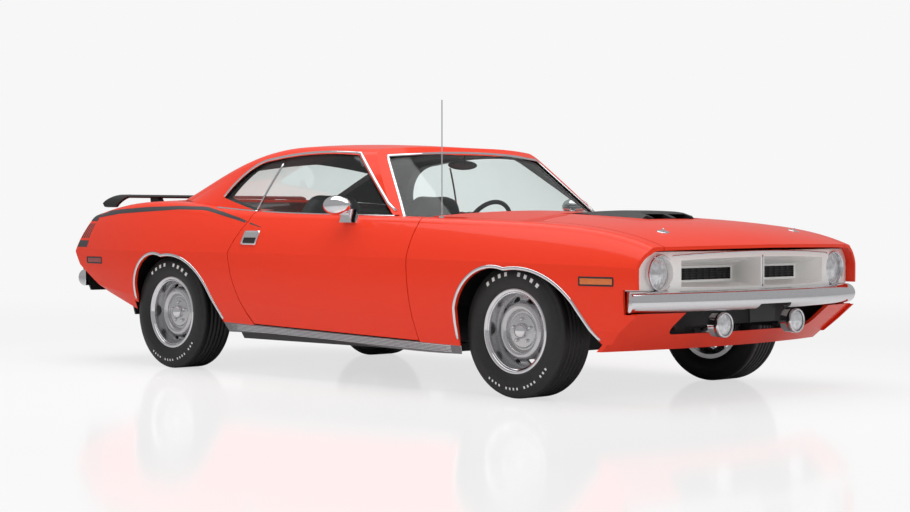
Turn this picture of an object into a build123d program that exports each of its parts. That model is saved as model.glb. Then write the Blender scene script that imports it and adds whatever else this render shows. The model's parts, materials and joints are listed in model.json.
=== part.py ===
from build123d import *
import math
import os
from collections import namedtuple

# Muscle car. Millimetres, X forward, Y to the car's left, Z up, floor at Z 0, origin under the middle of the length.

# Overall sizes
LENGTH = 4742.0
WHEELBASE = 2743.0
FRONT_OVERHANG = 930.0
FRONT_TRACK = 1516.0
REAR_TRACK = 1542.0
NOSE_X = LENGTH / 2
FRONT_AXLE_X = NOSE_X - FRONT_OVERHANG
REAR_AXLE_X = FRONT_AXLE_X - WHEELBASE

# Wheels and tyres
TYRE_R = 326.0
TYRE_W = 226.0
RIM_R = 198.0
SPINDLE_R = 28.0
AXLE_Z = TYRE_R
STEER_AXIS_Y = 668.0

# Sheet and gaps
SKIN = 16.0
GAP = 6.0
SEAT = 0.4
PILLAR = 42.0
GLASS_IN = 8.0
GLASS = 6.0
DOOR_INNER_Y = 785.0
DOOR_REBATE = 26.0

# Floor and firewall
FLOOR_Z = 240.0
FLOOR_T = 18.0
FIREWALL_X = FRONT_AXLE_X - 579.0

# Panel edges
DOOR_FRONT_X = FRONT_AXLE_X - 664.0
DOOR_REAR_X = REAR_AXLE_X + 660.0
HOOD_REAR_X = FRONT_AXLE_X - 615.0
HOOD_HALF_REAR = 742.0
HOOD_HALF_FRONT = 712.0
DECK_FRONT_X = REAR_AXLE_X - 398.0
DECK_REAR_X = REAR_AXLE_X - 935.0
DECK_HALF = 660.0
NOSE_RADIUS = 3536.0
NOSE_CENTRE_X = FRONT_AXLE_X + 894.0
NOSE_TUCK_Z = 434.0
NOSE_TUCK = 1.19
NOSE_LOW_Z = 150.0
GRILLE_BACK_X = FRONT_AXLE_X + 662.0

# Lower body sections: half widths and heights of the rocker, tuck, crease, shoulder and middle of the top
Section = namedtuple("Section",
                     "x rocker_y rocker_z tuck_y tuck_z crease_y crease_z shoulder_y shoulder_z round_r top_z")
BODY = [
    Section(REAR_AXLE_X - 1110, 770, 470, 815, 560, 838, 683, 775, 862, 40, 878),
    Section(REAR_AXLE_X - 600, 838, 390, 885, 450, 908, 682, 815, 946, 50, 962),
    Section(REAR_AXLE_X, 872, 250, 918, 408, 945, 682, 834, 963, 60, 985),
    Section(REAR_AXLE_X + 672, 885, 238, 925, 402, 944, 681, 850, 912, 45, 950),
    Section(FRONT_AXLE_X - 1171, 882, 222, 922, 380, 938, 673, 846, 886, 30, 925),
    Section(FRONT_AXLE_X - 371, 878, 200, 918, 358, 936, 665, 832, 866, 30, 905),
    Section(FRONT_AXLE_X + 229, 860, 230, 910, 352, 930, 657, 815, 842, 30, 874),
    Section(FRONT_AXLE_X + 679, 825, 262, 875, 350, 896, 646, 800, 777, 28, 821),
    Section(FRONT_AXLE_X + 1010, 770, 280, 812, 345, 832, 620, 770, 644, 24, 672),
]

# Greenhouse sections: half width at the foot, at the rail and at the roof edge, with heights
Roof = namedtuple("Roof", "x foot_y foot_z rail_y rail_z edge_y edge_z top_z")
HOUSE = [
    Roof(FRONT_AXLE_X - 600, 822, 850, 628, 1190, 545, 1222, 1238),
    Roof(FRONT_AXLE_X - 1206, 826, 850, 634, 1212, 552, 1248, 1264),
    Roof(FRONT_AXLE_X - 1641, 828, 850, 642, 1222, 560, 1266, 1291),
    Roof(REAR_AXLE_X + 662, 826, 850, 642, 1206, 560, 1258, 1291),
    Roof(REAR_AXLE_X + 352, 818, 850, 645, 1140, 562, 1196, 1252),
    Roof(REAR_AXLE_X - 28, 800, 850, 655, 1000, 566, 1064, 1128),
    Roof(REAR_AXLE_X - 330, 775, 850, 660, 905, 570, 952, 1000),
]

# Windshield plane: an arc in plan carried up a slant
SHIELD_BASE = (FRONT_AXLE_X - 706.0, 905.0)
SHIELD_TOP = (FRONT_AXLE_X - 1086.0, 1212.0)
SHIELD_RADIUS = 1569.0


def lift(points, x):
    return [Vector(x, y, z) for y, z in points]


def bulge(p, q, sag):
    """Arc from p to q whose middle stands off the chord by sag, to the left of p-q."""
    mid = ((p[0] + q[0]) / 2, (p[1] + q[1]) / 2)
    run = math.hypot(q[0] - p[0], q[1] - p[1])
    return (mid[0] - (q[1] - p[1]) / run * sag, mid[1] + (q[0] - p[0]) / run * sag)


def rounded_corner(before, corner, after, run):
    """Tangent points and middle of an arc that rounds the corner."""
    a = Vector(*before) - Vector(*corner)
    b = Vector(*after) - Vector(*corner)
    a = a / a.length
    b = b / b.length
    half = math.acos(max(-1.0, min(1.0, a.dot(b)))) / 2
    start = Vector(*corner) + a * run
    end = Vector(*corner) + b * run
    chord = (start + end) / 2
    k = math.sin(half) / (1 + math.sin(half))
    mid = chord + (Vector(*corner) - chord) * k
    return (start.X, start.Y), (mid.X, mid.Y), (end.X, end.Y)


def ring(x, steps):
    """Closed face at one x: steps are points or (middle, end) pairs in y, z."""
    edges = []
    last = steps[0]
    for step in steps[1:]:
        if isinstance(step[0], tuple):
            mid, end = step
            edges.append(Edge.make_three_point_arc(*lift([last, mid, end], x)))
            last = end
        else:
            edges.append(Edge.make_line(*lift([last, step], x)))
            last = step
    edges.append(Edge.make_line(*lift([last, steps[0]], x)))
    return Wire(edges)


def body_ring(s, inset, drop):
    rocker = (s.rocker_y - inset, s.rocker_z - drop)
    tuck = (s.tuck_y - inset, s.tuck_z)
    crease = (s.crease_y - inset, s.crease_z)
    corner = (s.shoulder_y - inset, s.shoulder_z - inset)
    top = (0.0, s.top_z - inset)
    start, mid, end = rounded_corner(crease, corner, top, s.round_r)
    return ring(s.x, [
        (0.0, s.rocker_z - drop),
        rocker,
        tuck,
        (bulge(tuck, crease, -7.0), crease),
        (bulge(crease, start, -9.0), start),
        (mid, end),
        (bulge(end, top, -9.0), top),
    ])


def house_ring(r, inset):
    foot = (r.foot_y - inset, r.foot_z - inset)
    rail = (r.rail_y - inset, r.rail_z - inset / 2)
    edge = (r.edge_y - inset * 0.7, r.edge_z - inset * 0.8)
    top = (0.0, r.top_z - inset)
    return ring(r.x, [
        (0.0, r.foot_z - inset),
        foot,
        (bulge(foot, rail, -10.0), rail),
        (bulge(rail, edge, -10.0), edge),
        (bulge(edge, top, -6.0), top),
    ])


def loft_half(rings):
    return Solid.make_loft(rings, False)


def both(shape):
    return shape + mirror(shape, Plane.XZ)


def flip(shape):
    return mirror(shape, Plane.XZ)


def box(x0, x1, y0, y1, z0, z1):
    return Pos((x0 + x1) / 2, (y0 + y1) / 2, (z0 + z1) / 2) * Box(x1 - x0, y1 - y0, z1 - z0)


def rod_y(x, z, r, y0, y1):
    return Pos(x, (y0 + y1) / 2, z) * Rot(90, 0, 0) * Cylinder(r, y1 - y0)


def rod_x(y, z, r, x0, x1):
    return Pos((x0 + x1) / 2, y, z) * Rot(0, 90, 0) * Cylinder(r, x1 - x0)


def rod_z(x, y, r, z0, z1):
    return Pos(x, y, (z0 + z1) / 2) * Cylinder(r, z1 - z0)


def path_face(steps, place):
    edges = []
    last = steps[0]
    for step in steps[1:]:
        if isinstance(step[0], tuple):
            mid, end = step
            edges.append(Edge.make_three_point_arc(place(last), place(mid), place(end)))
            last = end
        else:
            edges.append(Edge.make_line(place(last), place(step)))
            last = step
    if last != steps[0]:
        edges.append(Edge.make_line(place(last), place(steps[0])))
    return Face(Wire(edges))


def prism_y(steps, y0, y1):
    """Side-view outline in x, z carried across from y0 to y1."""
    face = path_face(steps, lambda p: Vector(p[0], y0, p[1]))
    return Solid.extrude(face, Vector(0, y1 - y0, 0))


def prism_z(steps, z0, z1):
    """Plan outline in x, y carried up from z0 to z1."""
    face = path_face(steps, lambda p: Vector(p[0], p[1], z0))
    return Solid.extrude(face, Vector(0, 0, z1 - z0))


def prism_x(steps, x0, x1):
    """Front-view outline in y, z carried along from x0 to x1."""
    face = path_face(steps, lambda p: Vector(x0, p[0], p[1]))
    return Solid.extrude(face, Vector(x1 - x0, 0, 0))


os.makedirs("parts", exist_ok=True)


def save(name, shape):
    shape.label = name
    export_step(shape, "parts/" + name + ".step")


# Body shell: the lower body and the greenhouse, left half, then panels cut from them
body_out = loft_half([body_ring(s, 0.0, 0.0) for s in BODY])
body_in = loft_half([body_ring(s, SKIN, 80.0) for s in BODY])
body_seat = loft_half([body_ring(s, SKIN + SEAT, 80.0) for s in BODY])
body_lift = Pos(0, 0, SEAT) * body_out
house_out = loft_half([house_ring(r, 0.0) for r in HOUSE])
house_in = loft_half([house_ring(r, PILLAR) for r in HOUSE])
pane_out = loft_half([house_ring(r, GLASS_IN) for r in HOUSE])
pane_in = loft_half([house_ring(r, GLASS_IN + GLASS) for r in HOUSE])

# The nose is an arc in plan that leans back below the bumper


def nose_block(setback):
    reach = NOSE_RADIUS - setback
    toe = reach - NOSE_TUCK * (NOSE_TUCK_Z - NOSE_LOW_Z)
    outline = [(0.0, NOSE_LOW_Z), (toe, NOSE_LOW_Z), (reach, NOSE_TUCK_Z), (reach, 1500.0), (0.0, 1500.0)]
    face = path_face(outline, lambda p: Vector(NOSE_CENTRE_X - NOSE_RADIUS + p[0], 0, p[1]))
    return Solid.revolve(face, 360, Axis((NOSE_CENTRE_X - NOSE_RADIUS, 0, 0), (0, 0, 1)))


nose_keep = nose_block(0.0)
TAIL = [(3000, 1500), (REAR_AXLE_X - 850, 1500), (REAR_AXLE_X - 876, 888), (REAR_AXLE_X - 1012, 670),
        (REAR_AXLE_X - 957, 589), (REAR_AXLE_X - 660, 433), (REAR_AXLE_X - 371, 335), (REAR_AXLE_X - 371,
                                                                                       0), (3000, 0)]
tail_keep = prism_y(TAIL, -10, 1200)
skin = (body_out - body_in) & nose_keep & tail_keep

# Wheel arches: edges from the axle, then heights
Arch = namedtuple("Arch", "x rear spring bend bend_z top_z fore fore_z end end_z toe toe_z")
FRONT_ARCH = Arch(FRONT_AXLE_X, -335, 430, -251, 565, 619, 259, 587, 419, 473, 700, 97)
REAR_ARCH = Arch(REAR_AXLE_X, -290, 470, -232, 592, 648, 230, 622, 409, 482, 690, 53)


def arch_steps(a, grow):
    return [
        (a.x + a.rear - grow, 0.0),
        (a.x + a.rear - grow, a.spring),
        ((a.x + a.bend - 0.7 * grow, a.bend_z + 0.7 * grow), (a.x, a.top_z + grow)),
        ((a.x + a.fore + 0.5 * grow, a.fore_z + 0.8 * grow),
         (a.x + a.end + 0.8 * grow, a.end_z + 0.6 * grow)),
        (a.x + a.toe + grow, a.toe_z),
        (a.x + a.toe + grow, 0.0),
    ]


front_arch = prism_y(arch_steps(FRONT_ARCH, 0.0), 300, 1200)
rear_arch = prism_y(arch_steps(REAR_ARCH, 0.0), 300, 1200)

# Door outline in side view
SILL_REAR_Z = 294.0
SILL_FRONT_Z = 256.0
DOOR_TOP_Z = 1000.0


def door_steps(grow):
    front = DOOR_FRONT_X + grow
    rear = DOOR_REAR_X - grow
    return [
        (front + 8, DOOR_TOP_Z),
        ((front - 15, 660.0), (front + 38, SILL_FRONT_Z - grow)),
        (rear + 149, SILL_REAR_Z - 4 - grow),
        ((rear + 7, 519.0), (rear - 32, 682.0)),
        ((rear + 20, 780.0), (rear + 73, 861.0)),
        (rear + 98, DOOR_TOP_Z),
    ]


door_block = body_out & prism_y(door_steps(0.0), DOOR_INNER_Y, 1200)
door_rebate = prism_y(door_steps(1.0), 600, 1200) - prism_y(door_steps(-DOOR_REBATE), 500, 1300)
door_left = door_block - (body_in & door_rebate)
# Door hinge: a strap on the hinge post reaches into a pocket of the door and holds an upright pin
DOOR_PIN = (DOOR_FRONT_X - 80.0, 921.0)
DOOR_PIN_R = 5.0
STRAP_Z0 = 606.0
STRAP_Z1 = 662.0
POCKET = 9.0
STRAP_R = 7.5
STRAP_HALF = 6.0
STRAP_PLAY = 1.5
STRAP_SWEEP = 42.0
pocket = box(DOOR_PIN[0] - 14, DOOR_FRONT_X + 100, 700, DOOR_PIN[1] - STRAP_HALF, STRAP_Z0 - POCKET,
             STRAP_Z1 + POCKET)
pocket = pocket + rod_z(DOOR_PIN[0], DOOR_PIN[1], STRAP_R + STRAP_PLAY, STRAP_Z0 - POCKET,
                        STRAP_Z1 + POCKET)
pocket = pocket + box(DOOR_PIN[0], DOOR_PIN[0] + STRAP_SWEEP, DOOR_PIN[1] - 20,
                      DOOR_PIN[1] + STRAP_R + STRAP_PLAY / 2,
                      STRAP_Z0 - POCKET, STRAP_Z1 + POCKET)
door_left = door_left - pocket
pin_hole = rod_z(DOOR_PIN[0], DOOR_PIN[1], DOOR_PIN_R + 0.05, STRAP_Z0 - POCKET - 25,
                 STRAP_Z1 + POCKET + 25)
door_left = door_left - pin_hole
strap = rod_z(DOOR_PIN[0], DOOR_PIN[1], STRAP_R, STRAP_Z0, STRAP_Z1)
strap = strap + rod_z(DOOR_PIN[0], DOOR_PIN[1], DOOR_PIN_R, STRAP_Z0 - POCKET - 24, STRAP_Z1 + POCKET + 24)
strap = strap + box(DOOR_PIN[0] - STRAP_HALF, DOOR_PIN[0] + STRAP_HALF, 825, DOOR_PIN[1], STRAP_Z0,
                    STRAP_Z1)
strap = strap + box(DOOR_PIN[0] - STRAP_HALF, DOOR_FRONT_X + 60, 825, 837, STRAP_Z0, STRAP_Z1)

# Hood outline in plan
HOOD_REAR_CORNER_X = HOOD_REAR_X - 60.0


def hood_steps(grow):
    return [
        (3000.0, -HOOD_HALF_FRONT - grow),
        (3000.0, HOOD_HALF_FRONT + grow),
        (HOOD_REAR_CORNER_X - grow, HOOD_HALF_REAR + grow),
        ((HOOD_REAR_X - grow, 0.0), (HOOD_REAR_CORNER_X - grow, -HOOD_HALF_REAR - grow)),
    ]


# Front fender
fender_zone = prism_y([(DOOR_FRONT_X + 8 + GAP, 1500.0), (DOOR_FRONT_X + 8 + GAP, DOOR_TOP_Z),
                       ((DOOR_FRONT_X - 15 + GAP, 660.0), (DOOR_FRONT_X + 38 + GAP, SILL_FRONT_Z - GAP)),
                       (DOOR_FRONT_X + 38 + GAP, 0.0), (3000.0, 0.0), (3000.0, 1500.0)], 100, 1200)
COWL_HALF = 779.0
COWL_DROP = 55.0
fender_left = (skin & fender_zone) - front_arch - prism_z(hood_steps(GAP), 500, 1200)
fender_left = fender_left - box(0, HOOD_REAR_X + 200, -COWL_HALF, COWL_HALF, 700, 1200) - box(2000, 3000, 0,
                                                                                              790, 0, 560)

# Quarter panel
quarter_zone = prism_y([(DOOR_REAR_X + 98 - GAP, 1500.0), (DOOR_REAR_X + 98 - GAP, DOOR_TOP_Z),
                        (DOOR_REAR_X + 73 - GAP, 861.0), ((DOOR_REAR_X + 20 - GAP, 780.0),
                                                          (DOOR_REAR_X - 32 - GAP, 682.0)),
                        ((DOOR_REAR_X + 7 - GAP, 519.0), (DOOR_REAR_X + 149 - GAP, SILL_REAR_Z - 4 - GAP)),
                        (DOOR_REAR_X + 149 - GAP, 0.0), (-3000.0, 0.0), (-3000.0, 1500.0)], 100, 1200)
SHELF_HALF = 700.0
quarter_left = (skin & quarter_zone) - rear_arch
quarter_left = quarter_left - box(DECK_FRONT_X + GAP, 0, 0, SHELF_HALF, 600, 1200)
quarter_left = quarter_left - box(-3000, DECK_FRONT_X + GAP, 0, DECK_HALF + GAP, 700, 1200)

# Rocker moulding below the doors from arch to arch, and the side marker lamps let into the panels
SILL_SLOPE = -0.026


def sill_z(x):
    return 283.0 + SILL_SLOPE * (x - (DOOR_REAR_X + 149.0))


SILL_X0 = REAR_AXLE_X + 200.0
SILL_X1 = FRONT_AXLE_X - 200.0
sill_zone = prism_y([(SILL_X0, sill_z(SILL_X0)), (SILL_X1, sill_z(SILL_X1)), (SILL_X1, 0.0),
                     (SILL_X0, 0.0)], 100, 1200)
fender_left = fender_left - sill_zone
quarter_left = quarter_left - sill_zone
moulding_left = ((body_out - body_in) & sill_zone) - front_arch - rear_arch
MARKER_FRONT = box(FRONT_AXLE_X + 470, FRONT_AXLE_X + 660, 700, 1200, 562, 598)
MARKER_REAR = box(REAR_AXLE_X - 850, REAR_AXLE_X - 660, 700, 1200, 602, 636)
markers = both((body_out - body_in) & (MARKER_FRONT + MARKER_REAR))
BUMPER_NOTCH = box(FRONT_AXLE_X + 712, 3000, 700, 1200, 430, 544)
fender_left = fender_left - MARKER_FRONT - BUMPER_NOTCH
TYRE_CLEAR = 10.0
rear_tyre_room = rod_y(REAR_AXLE_X, AXLE_Z, TYRE_R + TYRE_CLEAR, 600, REAR_TRACK / 2 + TYRE_W / 2 + 6)
quarter_left = quarter_left - MARKER_REAR - rear_tyre_room

# Hood, deck lid, cowl and the panel under the rear window
skin_all = both(skin)
SCOOP_X0 = FRONT_AXLE_X - 265.0
SCOOP_X1 = FRONT_AXLE_X + 293.0
SCOOP_HALF = 205.0
SCOOP_GAP = 16.0
hood = skin_all & prism_z(hood_steps(0.0), 500, 1200)
hood = hood - box(SCOOP_X0 - SCOOP_GAP, SCOOP_X1 + SCOOP_GAP, -SCOOP_HALF - SCOOP_GAP,
                  SCOOP_HALF + SCOOP_GAP, 500, 1200)
deck_lid = skin_all & box(DECK_REAR_X, DECK_FRONT_X, -DECK_HALF, DECK_HALF, 700, 1200)
cowl_top = loft_half([body_ring(s, COWL_DROP, 80.0) for s in BODY])
cowl_low = loft_half([body_ring(s, COWL_DROP + SKIN, 120.0) for s in BODY])
cowl_seat = loft_half([body_ring(s, COWL_DROP + SKIN + SEAT, 80.0) for s in BODY])
cowl = both((cowl_top - cowl_low) & box(DOOR_FRONT_X - 260, FIREWALL_X + FLOOR_T, 0, COWL_HALF, 700, 1200))
# Hood hinges: a tab under each rear corner of the hood turns on a pin between two lugs on the cowl
HOOD_PIN = (FRONT_AXLE_X - 651.0, 857.0)
HOOD_PIN_Y = 703.0
PIN_R = 5.0
PIN_PLAY = 0.05
LUG_R = 7.5
hood_tab = box(HOOD_PIN[0] - 11, HOOD_PIN[0] + 11, HOOD_PIN_Y - 6, HOOD_PIN_Y + 6, HOOD_PIN[1],
               1000) & body_in
hood_tab = hood_tab + rod_y(HOOD_PIN[0], HOOD_PIN[1], 11, HOOD_PIN_Y - 6, HOOD_PIN_Y + 6)
hood_tab = hood_tab - rod_y(HOOD_PIN[0], HOOD_PIN[1], PIN_R + PIN_PLAY, HOOD_PIN_Y - 20, HOOD_PIN_Y + 20)
hood = hood + both(hood_tab)
hood_lug = box(HOOD_PIN[0] - LUG_R, HOOD_PIN[0] + LUG_R, HOOD_PIN_Y - 13, HOOD_PIN_Y + 13, 780,
               HOOD_PIN[1]) - cowl_low
hood_lug = hood_lug + rod_y(HOOD_PIN[0], HOOD_PIN[1], LUG_R, HOOD_PIN_Y - 13, HOOD_PIN_Y + 13)
hood_lug = hood_lug - box(HOOD_PIN[0] - 20, HOOD_PIN[0] + 20, HOOD_PIN_Y - 7, HOOD_PIN_Y + 7,
                          HOOD_PIN[1] - 13, 1000)
hood_lug = hood_lug + rod_y(HOOD_PIN[0], HOOD_PIN[1], PIN_R, HOOD_PIN_Y - 13, HOOD_PIN_Y + 13)
cowl = cowl + both(hood_lug)
DECK_GAP = 8.5
tulip = skin_all & box(DECK_FRONT_X + DECK_GAP, DECK_FRONT_X + 230, -SHELF_HALF, SHELF_HALF, 600, 1200)
# Deck lid hinges: a hooked arm on each side of the lid turns on a pin between lugs under the panel ahead of it
DECK_PIN = (DECK_FRONT_X + 120.0, 936.0)
DECK_PIN_Y = 450.0
HOOK_IN = 130.0
HOOK_OUT = 158.0
HOOK_HALF = 9.0
hook = rod_y(DECK_PIN[0], DECK_PIN[1], HOOK_OUT, DECK_PIN_Y - HOOK_HALF, DECK_PIN_Y + HOOK_HALF)
hook = hook - rod_y(DECK_PIN[0], DECK_PIN[1], HOOK_IN, DECK_PIN_Y - 50, DECK_PIN_Y + 50)
hook = hook - box(DECK_PIN[0] + 14, 3000, -1200, 1200, 0, 1500) - box(-3000, 3000, -1200, 1200,
                                                                      DECK_PIN[1] - 5, 1500)
hook = hook + box(DECK_PIN[0] - 14, DECK_PIN[0] + 14, DECK_PIN_Y - HOOK_HALF, DECK_PIN_Y + HOOK_HALF,
                  DECK_PIN[1] - HOOK_OUT + 10, DECK_PIN[1])
hook = hook + rod_y(DECK_PIN[0], DECK_PIN[1], 14, DECK_PIN_Y - HOOK_HALF, DECK_PIN_Y + HOOK_HALF)
hook = hook + (body_in & box(DECK_PIN[0] - HOOK_OUT - 30, DECK_PIN[0] - HOOK_IN, DECK_PIN_Y - HOOK_HALF,
                             DECK_PIN_Y + HOOK_HALF, DECK_PIN[1] - 25, 1200))
hook = hook - rod_y(DECK_PIN[0], DECK_PIN[1], PIN_R + PIN_PLAY, DECK_PIN_Y - 50, DECK_PIN_Y + 50)
deck_lid = deck_lid + both(hook)
deck_lug = body_in & box(DECK_PIN[0] - 13, DECK_PIN[0] + 13, DECK_PIN_Y - 17, DECK_PIN_Y + 17,
                         DECK_PIN[1] - 9, 1200)
deck_lug = deck_lug - box(DECK_PIN[0] - 20, DECK_PIN[0] + 20, DECK_PIN_Y - 10, DECK_PIN_Y + 10, 0,
                          DECK_PIN[1] + 19)
deck_lug = deck_lug + rod_y(DECK_PIN[0], DECK_PIN[1], PIN_R, DECK_PIN_Y - 17, DECK_PIN_Y + 17)
tulip = tulip + both(deck_lug)

# Greenhouse openings
SLANT = ((SHIELD_TOP[0] - SHIELD_BASE[0]) / (SHIELD_TOP[1] - SHIELD_BASE[1]))


def shield(depth):
    """Everything behind the windshield surface moved in by depth."""
    low = 600.0
    r = SHIELD_RADIUS - 1.6 * depth
    x = SHIELD_BASE[0] + SLANT * (low - SHIELD_BASE[1]) - SHIELD_RADIUS
    face = Face(Wire([Edge.make_circle(r, Plane((x, 0, low)))]))
    return Solid.extrude(face, Vector(SLANT * 900.0, 0, 900.0))


shield_hole = prism_x([(-771.0, 838.0), (771.0, 838.0), (577.0, 1196.0), ((0.0, 1220.0), (-577.0, 1196.0))],
                      0, 1300)
WINDOW = [(FRONT_AXLE_X - 895, 880.0), (FRONT_AXLE_X - 1357, 1213.0),
          ((FRONT_AXLE_X - 1650, 1226.0), (REAR_AXLE_X + 662, 1196.0)),
          ((REAR_AXLE_X + 470, 1130.0), (REAR_AXLE_X + 350, 990.0)), (REAR_AXLE_X + 713, 912.0),
          ((REAR_AXLE_X + 900, 890.0), (REAR_AXLE_X + 1100, 880.0))]
window_hole = prism_y(WINDOW, 300, 1200)
LIGHT_X0 = REAR_AXLE_X - 340.0
LIGHT_X1 = REAR_AXLE_X + 292.0
back_hole = prism_z([(LIGHT_X1, 0.0), (LIGHT_X1 - 30, 505.0), (LIGHT_X0, 568.0), (LIGHT_X0, 0.0)], 900,
                    1500)
door_clear = prism_y(door_steps(GAP), DOOR_INNER_Y - GAP, 1200) & Pos(0, 0, GAP) * body_out
cabin_shell = (house_out - house_in) & shield(0.0)
behind_cowl = box(-3000, DOOR_FRONT_X - 260, 0, 1200, 0, 1500)
roof_half = cabin_shell - shield_hole - window_hole - back_hole - (body_lift & behind_cowl) - Pos(0, 0,
                                                                                                  SEAT) * cowl_top - door_clear
roof = both(roof_half)

windshield_half = (house_out & (shield(6.0) - shield(12.0)) & shield_hole) - Pos(0, 0, SEAT) * cowl_top
windshield = both(windshield_half)
panes = pane_out - pane_in
backlight = both((panes & back_hole) - body_lift)
split_low = REAR_AXLE_X + 707.0
split_top = REAR_AXLE_X + 780.0
split_slope = (split_top - split_low) / (1181.0 - 916.0)


def split_x(z):
    return split_low + split_slope * (z - 916.0)


ahead = prism_y([(split_x(700) + 3, 700.0), (3000.0, 700.0), (3000.0, 1500.0), (split_x(1500) + 3, 1500.0)],
                100, 1300)
behind = prism_y([(split_x(700) - 3, 700.0), (-3000.0, 700.0), (-3000.0, 1500.0),
                  (split_x(1500) - 3, 1500.0)], 100, 1300)
DOOR_PANE = [(FRONT_AXLE_X - 906, 860.0), (FRONT_AXLE_X - 1361, 1206.0),
             ((FRONT_AXLE_X - 1650, 1219.0), (REAR_AXLE_X + 662, 1189.0)),
             (REAR_AXLE_X + 662, 860.0)]
door_glass_left = (panes & prism_y(DOOR_PANE, 300, 1200) & ahead) - body_lift
quarter_glass = both((panes & window_hole & behind) - body_lift)

# Tail panel with lamps and rear bumper
seat_all = both(body_seat)
TAIL_TOP = (REAR_AXLE_X - 895, 858.0)
TAIL_MID = (REAR_AXLE_X - 1012, 670.0)
TAIL_LOW = (REAR_AXLE_X - 957, 589.0)
TAIL_TOE = (REAR_AXLE_X - 930, 430.0)
TAIL_T = 20.0
tail_panel = seat_all & prism_y([TAIL_TOP, TAIL_MID, TAIL_LOW, TAIL_TOE, (TAIL_TOE[0] + TAIL_T, 430.0),
                                    (TAIL_LOW[0] + TAIL_T, 589.0), (TAIL_MID[0] + TAIL_T,
                                                                    670.0), (TAIL_TOP[0] + TAIL_T,
                                                                             858.0)], -1200, 1200)


def tail_point(share, out):
    dx = TAIL_MID[0] - TAIL_TOP[0]
    dz = TAIL_MID[1] - TAIL_TOP[1]
    run = math.hypot(dx, dz)
    return (TAIL_TOP[0] + dx * share + dz / run * out, TAIL_TOP[1] + dz * share - dx / run * out)


LAMP_T = 12.0
tail_lamps = both(prism_y([tail_point(0.3, 0), tail_point(0.85, 0), tail_point(0.85, LAMP_T),
                           tail_point(0.3, LAMP_T)], 300, 700))

# Bumpers: a curled sheet turned about an upright axis, with arms that reach back to the body
BUMPER_H = 48.0
BUMPER_DEPTH = 60.0
BUMPER_T = 10.0
FRONT_BUMPER_Z = 487.0
FRONT_BUMPER_R = 2636.0
FRONT_BUMPER_HALF = 890.0
REAR_BUMPER_Z = 508.0
REAR_BUMPER_R = 3748.0
REAR_BUMPER_HALF = 858.0


def bumper_bar(radius, half_width, z, arm_y, arm_run):
    back = radius - BUMPER_DEPTH
    inner = radius - BUMPER_T
    low = BUMPER_H - BUMPER_T
    section = path_face([
        (back, z - BUMPER_H),
        ((radius, z), (back, z + BUMPER_H)),
        (back, z + low),
        ((inner, z), (back, z - low)),
    ], lambda p: Vector(p[0], 0, p[1]))
    angle = math.degrees(math.asin(half_width / radius))
    bar = Rot(0, 0, -angle) * Solid.revolve(section, 2 * angle, Axis.Z)
    reach = radius - BUMPER_T / 2
    arm_section = path_face([
        (radius - arm_run, z - ARM_H), (reach, z - ARM_H), (reach, z + ARM_H), (radius - arm_run,
                                                                                z + ARM_H),
    ], lambda p: Vector(p[0], 0, p[1]))
    arm_turn = math.degrees(2 * ARM_HALF / radius)
    arm = Solid.revolve(arm_section, arm_turn, Axis.Z)
    arm_angle = math.degrees(math.asin(arm_y / radius))
    bar = bar + Rot(0, 0, arm_angle - arm_turn / 2) * arm + Rot(0, 0, -arm_angle - arm_turn / 2) * arm
    return Pos(LENGTH / 2 - radius, 0, 0) * bar


NOTCH_LOW = (150.0, 400.0)
NOTCH_TOP = (122.0, 465.0)
ARM_HALF = 15.0
ARM_H = 10.0
front_bumper = bumper_bar(FRONT_BUMPER_R, FRONT_BUMPER_HALF, FRONT_BUMPER_Z, 405.0,
                          NOSE_X - GRILLE_BACK_X - 13)
front_bumper = front_bumper - prism_x([(-NOTCH_LOW[0], NOTCH_LOW[1]), NOTCH_LOW, NOTCH_TOP,
                                       (-NOTCH_TOP[0], NOTCH_TOP[1])], 2000, 3000)
rear_bumper = Rot(0, 0, 180) * bumper_bar(REAR_BUMPER_R, REAR_BUMPER_HALF, REAR_BUMPER_Z, 355.0, 124.0)
rear_bumper = rear_bumper - tail_panel

# Plate bracket hung by a tab from the middle of the front bumper, with two bolt holes
PLATE_X = FRONT_AXLE_X + 840.0
PLATE_T = 9.0
PLATE_HALF = 102.0
PLATE_Z0 = 374.0
PLATE_Z1 = 472.0
PLATE_HOLE_R = 3.5
PLATE_HOLE_SPACING = 178.0
PLATE_HOLE_Z = 440.0
plate_bracket = box(PLATE_X - PLATE_T, PLATE_X, -PLATE_HALF, PLATE_HALF, PLATE_Z0, PLATE_Z1)
plate_bracket = plate_bracket + box(PLATE_X - PLATE_T, NOSE_X - 10, -90, 90, PLATE_Z1 - 6, PLATE_Z1)
plate_bracket = plate_bracket - front_bumper
plate_bracket = plate_bracket - both(rod_x(PLATE_HOLE_SPACING / 2, PLATE_HOLE_Z, PLATE_HOLE_R, PLATE_X - 40,
                                           PLATE_X + 10))

# Grille: silver surround with two deep tapered recesses, bars across their backs and slots in their sloping tops
GRILLE_Z0 = 524.0
GRILLE_Z1 = 716.0
GRILLE_STEP_Y = 650.0
GRILLE_STEP_Z = 538.0
GRILLE_FRONT_R = NOSE_RADIUS - 55.0
GRILLE_BACK_T = 14.0
HEADLAMP_Y = 693.0
HEADLAMP_Z = 618.0
HEADLAMP_R = 78.0
Mouth = namedtuple("Mouth", "x y0 y1 z0 z1")
RECESS_BACK = Mouth(GRILLE_BACK_X + GRILLE_BACK_T, 26.0, 502.0, 568.0, 644.0)
RECESS_FRONT = Mouth(NOSE_CENTRE_X, 10.0, 622.0, 538.0, 702.0)
BAR_OPENING = Mouth(GRILLE_BACK_X, 40.0, 486.0, 578.0, 634.0)
BAR_ROWS = 4
BAR_COLUMNS = 8
BAR = 5.0
TOP_SLOTS = 4
TOP_SLOT = 10.0
TOP_SLOT_PITCH = 24.0
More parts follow.
